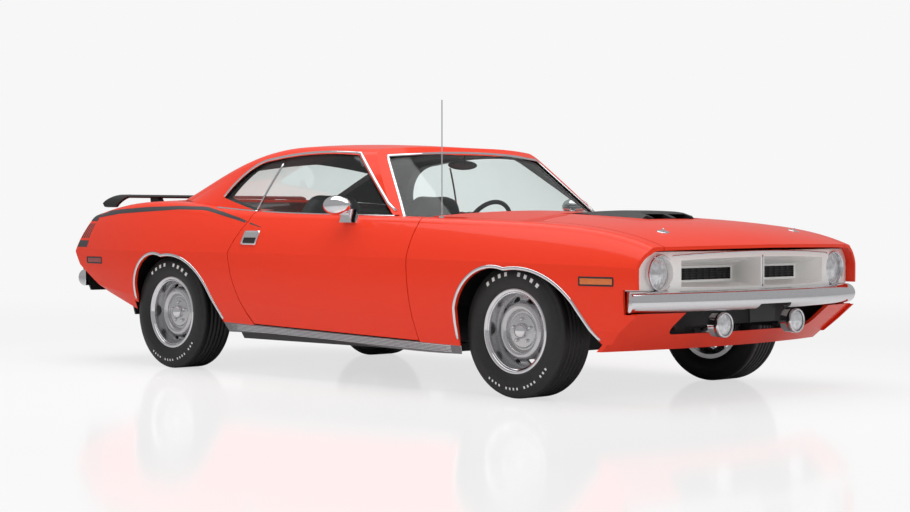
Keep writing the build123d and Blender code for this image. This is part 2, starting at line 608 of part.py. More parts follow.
grille_front = rod_z(NOSE_CENTRE_X - NOSE_RADIUS, 0, GRILLE_FRONT_R, 0, 1500)
grille = seat_all & grille_front & box(GRILLE_BACK_X, 3000, -1000, 1000, GRILLE_Z0, GRILLE_Z1)
grille = grille - both(box(GRILLE_BACK_X - 10, 3000, GRILLE_STEP_Y, 1000, 0, GRILLE_STEP_Z))


def mouth_wire(m):
    corners = [(m.y0, m.z0), (m.y1, m.z0), (m.y1, m.z1), (m.y0, m.z1)]
    return Wire.make_polygon([Vector(m.x, y, z) for y, z in corners])


grille_cut = Solid.make_loft([mouth_wire(RECESS_BACK), mouth_wire(RECESS_FRONT)], True)
grille_cut = grille_cut + box(BAR_OPENING.x - 5, BAR_OPENING.x + GRILLE_BACK_T + 5, BAR_OPENING.y0,
                              BAR_OPENING.y1, BAR_OPENING.z0, BAR_OPENING.z1)
for n in range(TOP_SLOTS):
    slot_x = RECESS_BACK.x + (n + 1.3) * TOP_SLOT_PITCH
    grille_cut = grille_cut + box(slot_x, slot_x + TOP_SLOT, BAR_OPENING.y0 + 14,
                                  BAR_OPENING.y1 - 40 + 8 * n, RECESS_BACK.z1 - 10, 900)
grille = grille - both(grille_cut)
grille = grille - both(rod_x(HEADLAMP_Y, HEADLAMP_Z, HEADLAMP_R, 2000, 3000))
rows = []
for n in range(1, BAR_ROWS + 1):
    bar_z = BAR_OPENING.z0 + n * (BAR_OPENING.z1 - BAR_OPENING.z0) / (BAR_ROWS + 1)
    rows.append(box(BAR_OPENING.x + 2, BAR_OPENING.x + 12, BAR_OPENING.y0 - 3, BAR_OPENING.y1 + 3,
                    bar_z - BAR / 2, bar_z + BAR / 2))
columns = []
for n in range(1, BAR_COLUMNS + 1):
    bar_y = BAR_OPENING.y0 + n * (BAR_OPENING.y1 - BAR_OPENING.y0) / (BAR_COLUMNS + 1)
    columns.append(box(BAR_OPENING.x + 2, BAR_OPENING.x + 8, bar_y - BAR / 2, bar_y + BAR / 2,
                       BAR_OPENING.z0 - 3, BAR_OPENING.z1 + 3))
bars = rows[0].fuse(*rows[1:], *columns)
grille = grille + both(bars)
HEADLAMP_X = FRONT_AXLE_X + 774.0
FOG_Y = 290.0
FOG_Z = 367.0
FOG_R = 58.0
FOG_X = FRONT_AXLE_X + 850.0
LENS_DOME = 22.0


def lamp(x0, x1, y, z, r):
    """Round lamp along X with a domed lens."""
    profile = path_face([(x0, 0.0), (x0, r), (x1 - LENS_DOME, r),
                         ((x1 - 0.28 * LENS_DOME, 0.52 * r), (x1, 0.1 * r)), (x1, 0.0)],
                        lambda p: Vector(p[0], y + p[1], z))
    return Solid.revolve(profile, 360, Axis((0, y, z), (1, 0, 0)))


headlamp = lamp(GRILLE_BACK_X, HEADLAMP_X, HEADLAMP_Y, HEADLAMP_Z, HEADLAMP_R - SEAT)
fog_lamp = lamp(FOG_X - 75, FOG_X, FOG_Y, FOG_Z, FOG_R)

# Front valance below the bumper, its opening with rounded lower corners
VALANCE_Z0 = 250.0
VALANCE_Z1 = 434.0
VALANCE_SET = 20.0
VALANCE_WALL = 26.0
OPENING_HALF = 572.0
OPENING_Z0 = 326.0
OPENING_CORNER = 50.0
ROUND = 1 - math.sqrt(0.5)
valance = nose_block(VALANCE_SET) - nose_block(VALANCE_SET + VALANCE_WALL)
valance = (valance & box(FRONT_AXLE_X + 400, 3000, -1000, 1000, VALANCE_Z0, VALANCE_Z1)) & seat_all
valance = valance - prism_x([
    (-OPENING_HALF, 600.0),
    (-OPENING_HALF, OPENING_Z0 + OPENING_CORNER),
    ((-OPENING_HALF + ROUND * OPENING_CORNER, OPENING_Z0 + ROUND * OPENING_CORNER),
     (-OPENING_HALF + OPENING_CORNER, OPENING_Z0)),
    (OPENING_HALF - OPENING_CORNER, OPENING_Z0),
    ((OPENING_HALF - ROUND * OPENING_CORNER, OPENING_Z0 + ROUND * OPENING_CORNER),
     (OPENING_HALF, OPENING_Z0 + OPENING_CORNER)),
    (OPENING_HALF, 600.0),
], 2000, 3000)
fog_lamp = fog_lamp + box(FOG_X - 150, FOG_X - 70, FOG_Y - 14, FOG_Y + 14, OPENING_Z0, OPENING_Z0 + 22)
front_lamps = both(headlamp) + both(fog_lamp)

# Engine as one block at its place, gearbox behind it, and the scoop that stands on it through the hood
ENGINE_X0 = FRONT_AXLE_X - 430.0
ENGINE_X1 = FRONT_AXLE_X + 220.0
CROSS_TOP = 300.0
engine = box(ENGINE_X0, ENGINE_X1, -250, 250, CROSS_TOP, 690) + box(ENGINE_X0 + 120, ENGINE_X1 - 60, -170,
                                                                    170, 690, 780)
engine = engine + box(ENGINE_X0 - 510, ENGINE_X0, -90, 90, 275, 398)
scoop_side = prism_y([(SCOOP_X0, 850.0), (SCOOP_X0, 893.0), ((SCOOP_X0 + 220, 911.0), (SCOOP_X0 + 464,
                                                                                       906.0)), (SCOOP_X1,
                                                                                                 874.0),
                      (SCOOP_X1, 850.0)], -SCOOP_HALF, SCOOP_HALF)
scoop_plan = prism_z([(SCOOP_X0, -165.0), (SCOOP_X1 - 60, -SCOOP_HALF), (SCOOP_X1, -SCOOP_HALF + 45),
                      (SCOOP_X1, SCOOP_HALF - 45),
                      (SCOOP_X1 - 60, SCOOP_HALF), (SCOOP_X0, 165.0)], 800, 1000)
scoop_front = prism_x([(-SCOOP_HALF, 800.0), (SCOOP_HALF, 800.0), (SCOOP_HALF - 4, 860.0),
                       (SCOOP_HALF - 35, 900.0),
                       ((0.0, 914.0), (-SCOOP_HALF + 35, 900.0)), (-SCOOP_HALF + 4,
                                                                   860.0)], SCOOP_X0 - 10, SCOOP_X1 + 10)
scoop = scoop_side & scoop_plan & scoop_front
scoop = scoop - both(box(SCOOP_X1 - 150, SCOOP_X1 + 20, 18, 158, 868, 893))
scoop = scoop + rod_z((SCOOP_X0 + SCOOP_X1) / 2, 0, 140, 780, 856)

# Front crossmember and control arms, knuckles, rear axle with springs and shaft
suspension = box(FRONT_AXLE_X - 70, FRONT_AXLE_X + 70, -430, 430, 215, CROSS_TOP)
ARM_LOW_TOP = 228.0
ARM_HIGH_LOW = 440.0
ARM_EYE_R = 26.0
suspension = suspension + both(box(FRONT_AXLE_X - ARM_EYE_R, FRONT_AXLE_X + ARM_EYE_R, 380, STEER_AXIS_Y,
                                   206, ARM_LOW_TOP)
                               + rod_z(FRONT_AXLE_X, STEER_AXIS_Y, ARM_EYE_R, 206, ARM_LOW_TOP))
APRON_Y = 440.0
APRON_T = 15.0
suspension = suspension + both(box(FRONT_AXLE_X - ARM_EYE_R, FRONT_AXLE_X + ARM_EYE_R, APRON_Y + APRON_T,
                                   STEER_AXIS_Y, ARM_HIGH_LOW, 462)
                               + rod_z(FRONT_AXLE_X, STEER_AXIS_Y, ARM_EYE_R, ARM_HIGH_LOW, 462))
knuckle_left = rod_z(FRONT_AXLE_X, STEER_AXIS_Y, 22, ARM_LOW_TOP + SEAT, ARM_HIGH_LOW - SEAT)
FRONT_WHEEL_Y = FRONT_TRACK / 2
REAR_WHEEL_Y = REAR_TRACK / 2
SPINDLE_OUT = 44.0
knuckle_left = knuckle_left + rod_y(FRONT_AXLE_X, AXLE_Z, SPINDLE_R, STEER_AXIS_Y,
                                    FRONT_WHEEL_Y + SPINDLE_OUT)
rear_axle = rod_y(REAR_AXLE_X, AXLE_Z, 42, -650, 650) + rod_y(REAR_AXLE_X, AXLE_Z, SPINDLE_R,
                                                              -REAR_WHEEL_Y - SPINDLE_OUT, REAR_WHEEL_Y + SPINDLE_OUT)
rear_axle = rear_axle + (Pos(REAR_AXLE_X, 0, AXLE_Z) * Sphere(130)) + rod_x(0, AXLE_Z, 36, REAR_AXLE_X,
                                                                            ENGINE_X0 - 510)
SPRING_Y0 = 530.0
SPRING_Y1 = 590.0
rear_axle = rear_axle + both(prism_y([(REAR_AXLE_X + 600, 300.0), ((REAR_AXLE_X, 272.0), (REAR_AXLE_X - 620,
                                                                                          410.0)), (REAR_AXLE_X - 620, 424.0),
                                      ((REAR_AXLE_X, 288.0),
                                       (REAR_AXLE_X + 600, 318.0))], SPRING_Y0, SPRING_Y1))

# Underbody: floor, tunnel, firewall, rails, wheelhouses and trunk floor in one welded piece
FLOOR_HALF = 700.0
KICK_X = REAR_AXLE_X + 740.0
TRUNK_Z = 425.0
floor = box(KICK_X, FIREWALL_X + FLOOR_T, -FLOOR_HALF, FLOOR_HALF, FLOOR_Z, FLOOR_Z + FLOOR_T)
kick = prism_y([(KICK_X, FLOOR_Z), (KICK_X + 20, FLOOR_Z), (KICK_X + 20, FLOOR_Z + FLOOR_T),
                (KICK_X - 140, TRUNK_Z + FLOOR_T),
                (KICK_X - 170, TRUNK_Z + FLOOR_T), (KICK_X - 170, TRUNK_Z)], -FLOOR_HALF, FLOOR_HALF)
trunk = box(REAR_AXLE_X - 925, KICK_X - 150, -615, 615, TRUNK_Z, TRUNK_Z + FLOOR_T)
tunnel = box(KICK_X, FIREWALL_X + FLOOR_T, -122, 122, FLOOR_Z, 422)
tunnel_hole = box(KICK_X - 200, FIREWALL_X + 50, -105, 105, 0, 405)
firewall = box(FIREWALL_X, FIREWALL_X + FLOOR_T, -COWL_HALF, COWL_HALF, FLOOR_Z, 1200) & both(cowl_seat)
POST_SPLIT_Z = 775.0
posts = both((box(DOOR_FRONT_X + 55, FIREWALL_X + FLOOR_T, 690, 1200, sill_z(FIREWALL_X) - 40, POST_SPLIT_Z)
              + box(DOOR_FRONT_X + 55, FIREWALL_X + FLOOR_T, COWL_HALF + SEAT, 1200, POST_SPLIT_Z,
                    1200)) & body_seat)
rails = both(box(FIREWALL_X, GRILLE_BACK_X, 375, APRON_Y + APRON_T, 330, 420))
aprons = both(box(FIREWALL_X, GRILLE_BACK_X, APRON_Y, APRON_Y + APRON_T, 330, 745))
core = seat_all & box(GRILLE_BACK_X - 20, GRILLE_BACK_X, -700, 700, 356, 690)
LINER = 95.0
LINER_T = 14.0


def liner(a, inner_y, low):
    hollow = prism_y(arch_steps(a, LINER - LINER_T), inner_y + LINER_T, 1200)
    shell = prism_y(arch_steps(a, LINER), inner_y, 1200) - hollow
    return shell & body_seat & box(-3000, 3000, 0, 1200, low, 1500)


liners = both(liner(FRONT_ARCH, APRON_Y, 335.0) + liner(REAR_ARCH, 605.0, 300.0))
sills = both((body_seat & sill_zone & box(-3000, 3000, 690, 1200, 205,
                                          400)) - prism_y(arch_steps(FRONT_ARCH, LINER), 300, 1200)
             - prism_y(arch_steps(REAR_ARCH, LINER), 300, 1200))
underbody = floor + kick + trunk + tunnel
underbody = underbody - tunnel_hole
underbody = underbody + both(strap) + firewall + posts + rails + aprons + core + liners + sills
underbody = underbody - tunnel_hole - tail_panel - suspension - box(GRILLE_BACK_X, 3000, -1200, 1200, 0,
                                                                    1500)
underbody = underbody - rear_axle - front_bumper - valance

# Exhaust, fuel tank
exhaust = both(rod_x(230, 205, 27, REAR_AXLE_X - 700, FRONT_AXLE_X - 300) + box(REAR_AXLE_X + 500,
                                                                                REAR_AXLE_X + 950, 150, 310, 150, FLOOR_Z - SEAT))
tank = box(REAR_AXLE_X - 860, REAR_AXLE_X - 420, -330, 330, 300, TRUNK_Z)

# Seats, dashboard and steering
seat = (prism_y([(-420, 300), (60, 330), (75, 430), (40, 470), (-330, 430), (-470, 880), (-500, 985),
                 (-590, 975), (-575, 880), (-450, 400)], 150, 650)
        + box(-380, 20, 200, 600, FLOOR_Z + FLOOR_T, 330))
front_seats = both(seat)
rear_seat = prism_y([(-1150, TRUNK_Z + FLOOR_T + SEAT), (-720, TRUNK_Z + FLOOR_T + SEAT), (-640, 470),
                     (-660, 520), (-1010, 480), (-1130, 860), (-1230, 850)], -590, 590)
dashboard = prism_y([(490, 640), (508, 852), ((450, 872), (390, 866)), ((345, 858), (330, 820)), (352, 740),
                     (372, 640)], -680, 680)
dashboard = dashboard + box(480, FIREWALL_X, -300, 300, 680, 720)
WHEEL_TILT = 24.0
WHEEL_POS = (60.0, 370.0, 800.0)
steering_place = Pos(*WHEEL_POS) * Rot(0, 270 + WHEEL_TILT, 0)
steering_wheel = steering_place * (Torus(182, 13) + Cylinder(46, 30) + Box(36, 364,
                                                                           8) + (Pos(-91, 0, 0) * Box(182,
                                                                                                      36, 8)))
column = steering_place * (Pos(0, 0, -237.4) * Cylinder(26, 444))
dashboard = (dashboard + column)

# Door mirrors, antenna and the wing on the deck lid
MIRROR_X = FRONT_AXLE_X - 1189.0
MIRROR_Y = 935.0
MIRROR_Z = 940.0
mirror_head = path_face([(-84, 0), (-84, 36), ((-20, 52), (44, 38)), ((74, 22), (84, 5)), (84, 0)],
                        lambda p: Vector(MIRROR_X + p[0], MIRROR_Y + p[1], MIRROR_Z))
mirror_left = Solid.revolve(mirror_head, 360, Axis((MIRROR_X, MIRROR_Y, MIRROR_Z), (1, 0, 0)))
mirror_left = mirror_left + prism_y([(MIRROR_X - 10, MIRROR_Z - 20), (MIRROR_X + 26, MIRROR_Z - 20),
                                     (MIRROR_X + 62, 850.0), (MIRROR_X - 36, 850.0)], 838, 900)
mirror_left = mirror_left - body_lift
antenna = rod_z(FRONT_AXLE_X - 557, -798, 3.0, 840, 1468) + rod_z(FRONT_AXLE_X - 557, -798, 14, 840, 882)
antenna = antenna - flip(body_lift)
WING_X0 = REAR_AXLE_X - 876.0
WING_CHORD = 222.0
WING_X1 = WING_X0 + WING_CHORD
WING_HALF = 742.0
WING_TOP = 1019.0
WING_T = 19.0
WING_DROP = 74.0
wing = prism_x([
    (-WING_HALF, WING_TOP - WING_DROP),
    ((-WING_HALF + 16, WING_TOP - 20), (-WING_HALF + 72, WING_TOP)),
    (WING_HALF - 72, WING_TOP),
    ((WING_HALF - 16, WING_TOP - 20), (WING_HALF, WING_TOP - WING_DROP)),
    (WING_HALF - WING_T, WING_TOP - WING_DROP - 4),
    ((WING_HALF - 32, WING_TOP - 34), (WING_HALF - 78, WING_TOP - WING_T)),
    (-WING_HALF + 78, WING_TOP - WING_T),
    ((-WING_HALF + 32, WING_TOP - 34), (-WING_HALF + WING_T, WING_TOP - WING_DROP - 4)),
], WING_X0 - 5, WING_X1 + 5)
wing = wing & prism_y([
    (WING_X0, WING_TOP - 52), ((WING_X0 + 70, WING_TOP - 12), (WING_X1 - 30, WING_TOP + 1)), ((WING_X1 - 8,
                                                                                               WING_TOP - 4), (WING_X1, WING_TOP - 12)),
    (WING_X1 - 100, WING_TOP - WING_DROP - 12), (WING_X0 + 30, WING_TOP - WING_DROP - 12),
], -WING_HALF - 5, WING_HALF + 5)
STRUT_Y0 = 430.0
STRUT_Y1 = 470.0
strut = prism_y([(WING_X0 + 130, 900.0), (WING_X0 + 120, WING_TOP - 12), (WING_X1 - 30, WING_TOP - 12),
                 (WING_X1 + 40, 900.0)], STRUT_Y0, STRUT_Y1)
wing = (wing + both(strut)) - both(body_lift)


# Wheels and tyres, turned about Y
def turned(steps):
    face = path_face(steps, lambda p: Vector(p[0], p[1], 0))
    return Solid.revolve(face, 360, Axis.Y)


SLOT_COUNT = 10
SLOT_IN = 141.0
SLOT_OUT = 170.0
SLOT_HALF = 21.0
RIM_LIP = 208.0
RIM_IN = 186.0
rim = turned([
    (RIM_IN, -95), (RIM_LIP, -95), (RIM_LIP, -87), (RIM_R, -84), (RIM_R, 84), (RIM_LIP, 87),
    ((RIM_LIP - 2, 94), (RIM_LIP - 9, 95)), ((RIM_IN + 8, 92), (RIM_IN, 82)),
])
disc = turned([
    (SPINDLE_R + 1, -40), (SPINDLE_R + 1, 46), (0, 46), (0, 74), ((22, 71), (36, 58)), (38, 42), (80,
                                                                                                  40), (86,
                                                                                                        34), (94, 34), (98, 42),
    ((118, 60), (138, 48)), (150, 28), (176, 14), (188, 12), (188, -2), (172, 0), (146, 14), (130,
                                                                                              38), (116,
                                                                                                    46), (98, 24),
    (62, 24), (62, -40),
])
drum = turned([(60, -58), (140, -58), (140, -2), (60, -2)])
wheel = rim + disc + drum
slot = prism_y([(SLOT_IN, -SLOT_HALF), (SLOT_IN, SLOT_HALF), ((SLOT_OUT, 0.0), (SLOT_IN, -SLOT_HALF))], 2,
               90)
for n in range(SLOT_COUNT):
    wheel = wheel - Rot(0, 360.0 / SLOT_COUNT * n, 0) * slot
tyre = turned([(RIM_R, -84), ((264, -TYRE_W / 2), (310, -TYRE_W / 2 + 14)),
               ((322, -TYRE_W / 2 + 20), (TYRE_R, -TYRE_W / 2 + 32)),
               (TYRE_R, TYRE_W / 2 - 32), ((322, TYRE_W / 2 - 20),
                                           (310, TYRE_W / 2 - 14)), ((264, TYRE_W / 2), (RIM_R, 84))])
tyre = tyre - rim
for end, x, y in (("front", FRONT_AXLE_X, FRONT_WHEEL_Y), ("rear", REAR_AXLE_X, REAR_WHEEL_Y)):
    for side, turn in (("left", lambda s: s), ("right", flip)):
        save("wheel_" + end + "_" + side, turn(Pos(x, y, AXLE_Z) * wheel))
        save("tyre_" + end + "_" + side, turn(Pos(x, y, AXLE_Z) * tyre))

for side, turn in (("left", lambda s: s), ("right", flip)):
    save("door_" + side, turn(door_left))
    save("fender_" + side, turn(fender_left))
    save("quarter_" + side, turn(quarter_left))
    save("door_glass_" + side, turn(door_glass_left))
save("hood", hood)
save("deck_lid", deck_lid)
save("cowl", cowl)
save("tulip_panel", tulip)
save("roof", roof)
save("windshield", windshield)
save("backlight", backlight)
save("quarter_glass", quarter_glass)
for side, turn in (("left", lambda s: s), ("right", flip)):
    save("knuckle_" + side, turn(knuckle_left))
    save("mirror_" + side, turn(mirror_left))
save("rocker_mouldings", both(moulding_left))
save("side_markers", markers)
save("tail_panel", tail_panel)
save("tail_lamps", tail_lamps)
save("front_bumper", front_bumper)
save("rear_bumper", rear_bumper)
save("plate_bracket", plate_bracket)
save("grille", grille)
save("front_lamps", front_lamps)
save("front_valance", valance)
save("engine", engine)
save("scoop", scoop)
save("front_suspension", suspension)
save("rear_axle", rear_axle)
save("underbody", underbody)
save("exhaust", exhaust)
save("fuel_tank", tank)
save("front_seats", front_seats)
save("rear_seat", rear_seat)
save("dashboard", dashboard)
save("steering_wheel", steering_wheel)
save("antenna", antenna)
save("rear_wing", wing)
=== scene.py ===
"""Muscle car: finishes, trim, tread, seats and studio round the CAD frame. Metres; X forward, Y left, Z up."""

import json
import math

import bmesh
import bpy
from mathutils import Matrix, Vector
from mathutils.bvhtree import BVHTree


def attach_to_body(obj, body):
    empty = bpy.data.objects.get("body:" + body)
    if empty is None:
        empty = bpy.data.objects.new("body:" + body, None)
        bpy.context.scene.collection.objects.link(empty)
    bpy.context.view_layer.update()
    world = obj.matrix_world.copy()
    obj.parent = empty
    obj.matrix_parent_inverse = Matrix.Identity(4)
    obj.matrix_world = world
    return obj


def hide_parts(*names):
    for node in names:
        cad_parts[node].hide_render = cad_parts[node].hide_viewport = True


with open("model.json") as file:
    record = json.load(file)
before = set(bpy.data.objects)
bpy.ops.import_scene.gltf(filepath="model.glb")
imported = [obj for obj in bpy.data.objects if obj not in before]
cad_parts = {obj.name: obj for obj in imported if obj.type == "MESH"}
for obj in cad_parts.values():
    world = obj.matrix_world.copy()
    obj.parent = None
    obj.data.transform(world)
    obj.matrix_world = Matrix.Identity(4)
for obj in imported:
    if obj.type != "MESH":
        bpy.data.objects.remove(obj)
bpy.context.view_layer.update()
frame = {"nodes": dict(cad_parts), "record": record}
nodes = frame["nodes"]

# Places that the car's drawing also uses
FRONT_AXLE = 1.441
REAR_AXLE = -1.302
AXLE_Z = 0.326
NOSE_TIP = 2.371
SIDES = {"left": 1, "right": -1}

# Where rays onto the panels start, clear of the car
BESIDE = 1.5
AHEAD = 2.6
CLEAR_OF_ROOF = 2.0


# Materials: each is a small node tree with noise in colour and roughness, so nothing is a flat colour
def material(name, colour, rough, metal=0.0, coat=0.0, spread=0.03, scale=60.0, bump=0.0, bump_scale=300.0,
             wave=0.0, shine=0.5):
    mat = bpy.data.materials.new(name)
    mat.use_nodes = True
    tree = mat.node_tree
    shader = tree.nodes["Principled BSDF"]
    shader.inputs["Metallic"].default_value = metal
    shader.inputs["Coat Weight"].default_value = coat
    shader.inputs["Specular IOR Level"].default_value = shine
    shader.inputs["Coat Roughness"].default_value = 0.03
    place = tree.nodes.new("ShaderNodeTexCoord")
    noise = tree.nodes.new("ShaderNodeTexNoise")
    noise.inputs["Scale"].default_value = scale
    noise.inputs["Detail"].default_value = 3.0
    tree.links.new(place.outputs["Object"], noise.inputs["Vector"])
    ramp = tree.nodes.new("ShaderNodeValToRGB")
    low = [max(0.0, c * (1.0 - spread)) for c in colour]
    high = [min(1.0, c * (1.0 + spread)) for c in colour]
    ramp.color_ramp.elements[0].position = 0.3
    ramp.color_ramp.elements[1].position = 0.7
    ramp.color_ramp.elements[0].color = (*low, 1.0)
    ramp.color_ramp.elements[1].color = (*high, 1.0)
    tree.links.new(noise.outputs["Fac"], ramp.inputs["Fac"])
    tree.links.new(ramp.outputs["Color"], shader.inputs["Base Color"])
    vary = tree.nodes.new("ShaderNodeMapRange")
    vary.inputs["To Min"].default_value = rough * 0.9
    vary.inputs["To Max"].default_value = min(1.0, rough * 1.1)
    tree.links.new(noise.outputs["Fac"], vary.inputs["Value"])
    tree.links.new(vary.outputs["Result"], shader.inputs["Roughness"])
    if bump or wave:
        lift = tree.nodes.new("ShaderNodeBump")
        lift.inputs["Strength"].default_value = bump or 0.6
        lift.inputs["Distance"].default_value = 0.002
        if wave:
            fine = tree.nodes.new("ShaderNodeTexWave")
            fine.bands_direction = "Y"
            fine.inputs["Scale"].default_value = wave
        else:
            fine = tree.nodes.new("ShaderNodeTexNoise")
            fine.inputs["Scale"].default_value = bump_scale
        tree.links.new(place.outputs["Object"], fine.inputs["Vector"])
        tree.links.new(fine.outputs["Fac"], lift.inputs["Height"])
        tree.links.new(lift.outputs["Normal"], shader.inputs["Normal"])
    return mat


def glass(name, tint, gloss):
    """Clear pane that mirrors more where it is seen at a flat angle, from either face."""
    mat = bpy.data.materials.new(name)
    mat.use_nodes = True
    tree = mat.node_tree
    tree.nodes.remove(tree.nodes["Principled BSDF"])
    place = tree.nodes.new("ShaderNodeTexCoord")
    noise = tree.nodes.new("ShaderNodeTexNoise")
    noise.inputs["Scale"].default_value = 2.0
    tree.links.new(place.outputs["Object"], noise.inputs["Vector"])
    ramp = tree.nodes.new("ShaderNodeValToRGB")
    ramp.color_ramp.elements[0].color = (*[c * 0.97 for c in tint], 1.0)
    ramp.color_ramp.elements[1].color = (*tint, 1.0)
    tree.links.new(noise.outputs["Fac"], ramp.inputs["Fac"])
    through = tree.nodes.new("ShaderNodeBsdfTransparent")
    tree.links.new(ramp.outputs["Color"], through.inputs["Color"])
    shine = tree.nodes.new("ShaderNodeBsdfGlossy")
    shine.inputs["Roughness"].default_value = 0.02
    edge = tree.nodes.new("ShaderNodeLayerWeight")
    edge.inputs["Blend"].default_value = 0.5
    steep = tree.nodes.new("ShaderNodeMath")
    steep.operation = "POWER"
    steep.inputs[1].default_value = 4.0
    tree.links.new(edge.outputs["Facing"], steep.inputs[0])
    gain = tree.nodes.new("ShaderNodeMath")
    gain.operation = "MULTIPLY_ADD"
    gain.inputs[1].default_value = gloss
    gain.inputs[2].default_value = 0.03
    tree.links.new(steep.outputs["Value"], gain.inputs[0])
    mix = tree.nodes.new("ShaderNodeMixShader")
    tree.links.new(gain.outputs["Value"], mix.inputs["Fac"])
    tree.links.new(through.outputs["BSDF"], mix.inputs[1])
    tree.links.new(shine.outputs["BSDF"], mix.inputs[2])
    tree.links.new(mix.outputs["Shader"], tree.nodes["Material Output"].inputs["Surface"])
    return mat


MAT = {
    "paint": material("paint_red", (0.90, 0.046, 0.015), 0.36, coat=0.32, spread=0.02, scale=900.0, shine=0.08),
    "black": material("black_paint", (0.014, 0.014, 0.015), 0.42, spread=0.2, scale=200.0),
    "chrome": material("chrome", (0.80, 0.80, 0.82), 0.07, metal=1.0, spread=0.02),
    "argent": material("argent_silver", (0.95, 0.94, 0.92), 0.36, metal=0.1, spread=0.03, scale=400.0),
    "glass": glass("tinted_glass", (0.965, 0.99, 0.985), 0.40),
    "lens": material("lamp_lens", (0.72, 0.73, 0.75), 0.1, metal=0.55, coat=1.0, spread=0.25, scale=40.0, wave=18.0),
    "red_lens": material("red_lens", (0.30, 0.01, 0.008), 0.12, coat=1.0, spread=0.1),
    "amber_lens": material("amber_lens", (0.70, 0.16, 0.02), 0.12, coat=1.0, spread=0.1),
    "rubber": material("tyre_rubber", (0.014, 0.014, 0.014), 0.55, spread=0.25, bump=0.12, bump_scale=500.0),
    "wheel_steel": material("wheel_silver", (0.62, 0.62, 0.63), 0.24, metal=0.9, spread=0.04, scale=300.0),
    "steel": material("steel_and_groove_shade", (0.22, 0.22, 0.23), 0.45, metal=0.9, spread=0.1),
    "iron": material("dark_iron", (0.02, 0.02, 0.02), 0.65, metal=0.2, spread=0.2),
    "trim": material("dark_trim", (0.020, 0.021, 0.022), 0.5, spread=0.2, bump=0.1),
    "vinyl": material("dark_vinyl", (0.030, 0.031, 0.033), 0.45, spread=0.2, bump=0.25, bump_scale=260.0),
    "stripe": material("stripe_film", (0.052, 0.052, 0.056), 0.5, spread=0.08, scale=300.0),
    "white_mark": material("white_mark", (0.75, 0.75, 0.74), 0.6, spread=0.05, scale=200.0),
}
record_slots = {entry["node"]: entry["material_slot"] for entry in frame["record"]["subparts"]}
for name, obj in nodes.items():
    obj.data.materials.clear()
    obj.data.materials.append(MAT[record_slots[name]])


# A second finish on some faces of a CAD node, chosen by each face's centre c and normal n
def second_finish(node, slot, test):
    mesh = nodes[node].data
    mesh.materials.append(MAT[slot])
    index = len(mesh.materials) - 1
    for polygon in mesh.polygons:
        if test(polygon.center, polygon.normal):
            polygon.material_index = index


CABIN = Vector((-0.2, 0.0, 0.95))
DOOR_INNER_Y = 0.79
PAINTED_NOSE_X = FRONT_AXLE + 0.45
GRILLE_BAR_X = FRONT_AXLE + 0.6755
GRILLE_BAR_Y = (0.036, 0.49)
GRILLE_BAR_Z = (0.574, 0.638)
FOG_X, FOG_SHELL, FOG_ROW_Y = FRONT_AXLE + 0.850, 0.0225, 0.45


def grille_bar(c, n):
    return (c.x < GRILLE_BAR_X and GRILLE_BAR_Y[0] < abs(c.y) < GRILLE_BAR_Y[1]
            and GRILLE_BAR_Z[0] < c.z < GRILLE_BAR_Z[1])


second_finish("roof", "trim", lambda c, n: (c - CABIN).dot(n) < 0.0)
for side, sign in SIDES.items():
    second_finish("door_" + side, "trim", lambda c, n, k=sign: n.y * k < -0.4 or abs(c.y) < DOOR_INNER_Y)
    for panel in ("fender_", "quarter_"):
        second_finish(panel + side, "black", lambda c, n, k=sign: n.y * k < -0.3 and c.x < PAINTED_NOSE_X)
second_finish("side_markers", "red_lens", lambda c, n: c.x < 0)
second_finish("grille", "black", grille_bar)
second_finish("front_lamps", "chrome", lambda c, n: abs(c.y) < FOG_ROW_Y and c.x < FOG_X - FOG_SHELL)
# Dark steel on the rocker moulding's side faces shows between the chrome ribs as painted shade in the grooves
second_finish("rocker_mouldings", "steel", lambda c, n: abs(n.y) > 0.5)


# Mesh pieces
def attach(name, mesh, slot, body):
    mesh.polygons.foreach_set("use_smooth", [True] * len(mesh.polygons))
    obj = bpy.data.objects.new(name, mesh)
    bpy.context.scene.collection.objects.link(obj)
    mesh.materials.append(MAT[slot])
    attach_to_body(obj, body)
    return obj


def piece(name, verts, faces, slot, body):
    mesh = bpy.data.meshes.new(name)
    mesh.from_pydata([tuple(v) for v in verts], [], faces)
    build = bmesh.new()
    build.from_mesh(mesh)
    bmesh.ops.remove_doubles(build, verts=build.verts, dist=1e-6)
    bmesh.ops.recalc_face_normals(build, faces=build.faces)
    build.to_mesh(mesh)
    build.free()
    return attach(name, mesh, slot, body)


def skin(rows, size, loop=False):
    """Faces between rows of points; each row is a ring, and loop joins the last row to the first."""
    faces = []
    for n in range(rows if loop else rows - 1):
        ahead = (n + 1) % rows
        for k in range(size):
            beside = (k + 1) % size
            faces.append((n * size + k, n * size + beside, ahead * size + beside, ahead * size + k))
    return faces


def surface(*names):
    """The named CAD nodes as one tree for rays."""
    verts, faces = [], []
    for name in names:
        mesh = nodes[name].data
        start = len(verts)
        verts += [v.co.copy() for v in mesh.vertices]
        faces += [[start + i for i in p.vertices] for p in mesh.polygons]
    return BVHTree.FromPolygons(verts, faces)


def cast(tree, start, direction):
    """Place that a ray meets, and the normal that faces the ray."""
    place, normal, _, _ = tree.ray_cast(Vector(start), Vector(direction))
    if place is None:
        return None
    return place, (normal if normal.dot(Vector(direction)) < 0 else -normal)


def side_on(tree, points, sign):
    """Points x, z carried in from the side onto the panels."""
    hits = [cast(tree, (x, BESIDE * sign, z), (0, -sign, 0)) for x, z in points]
    return [h for h in hits if h]


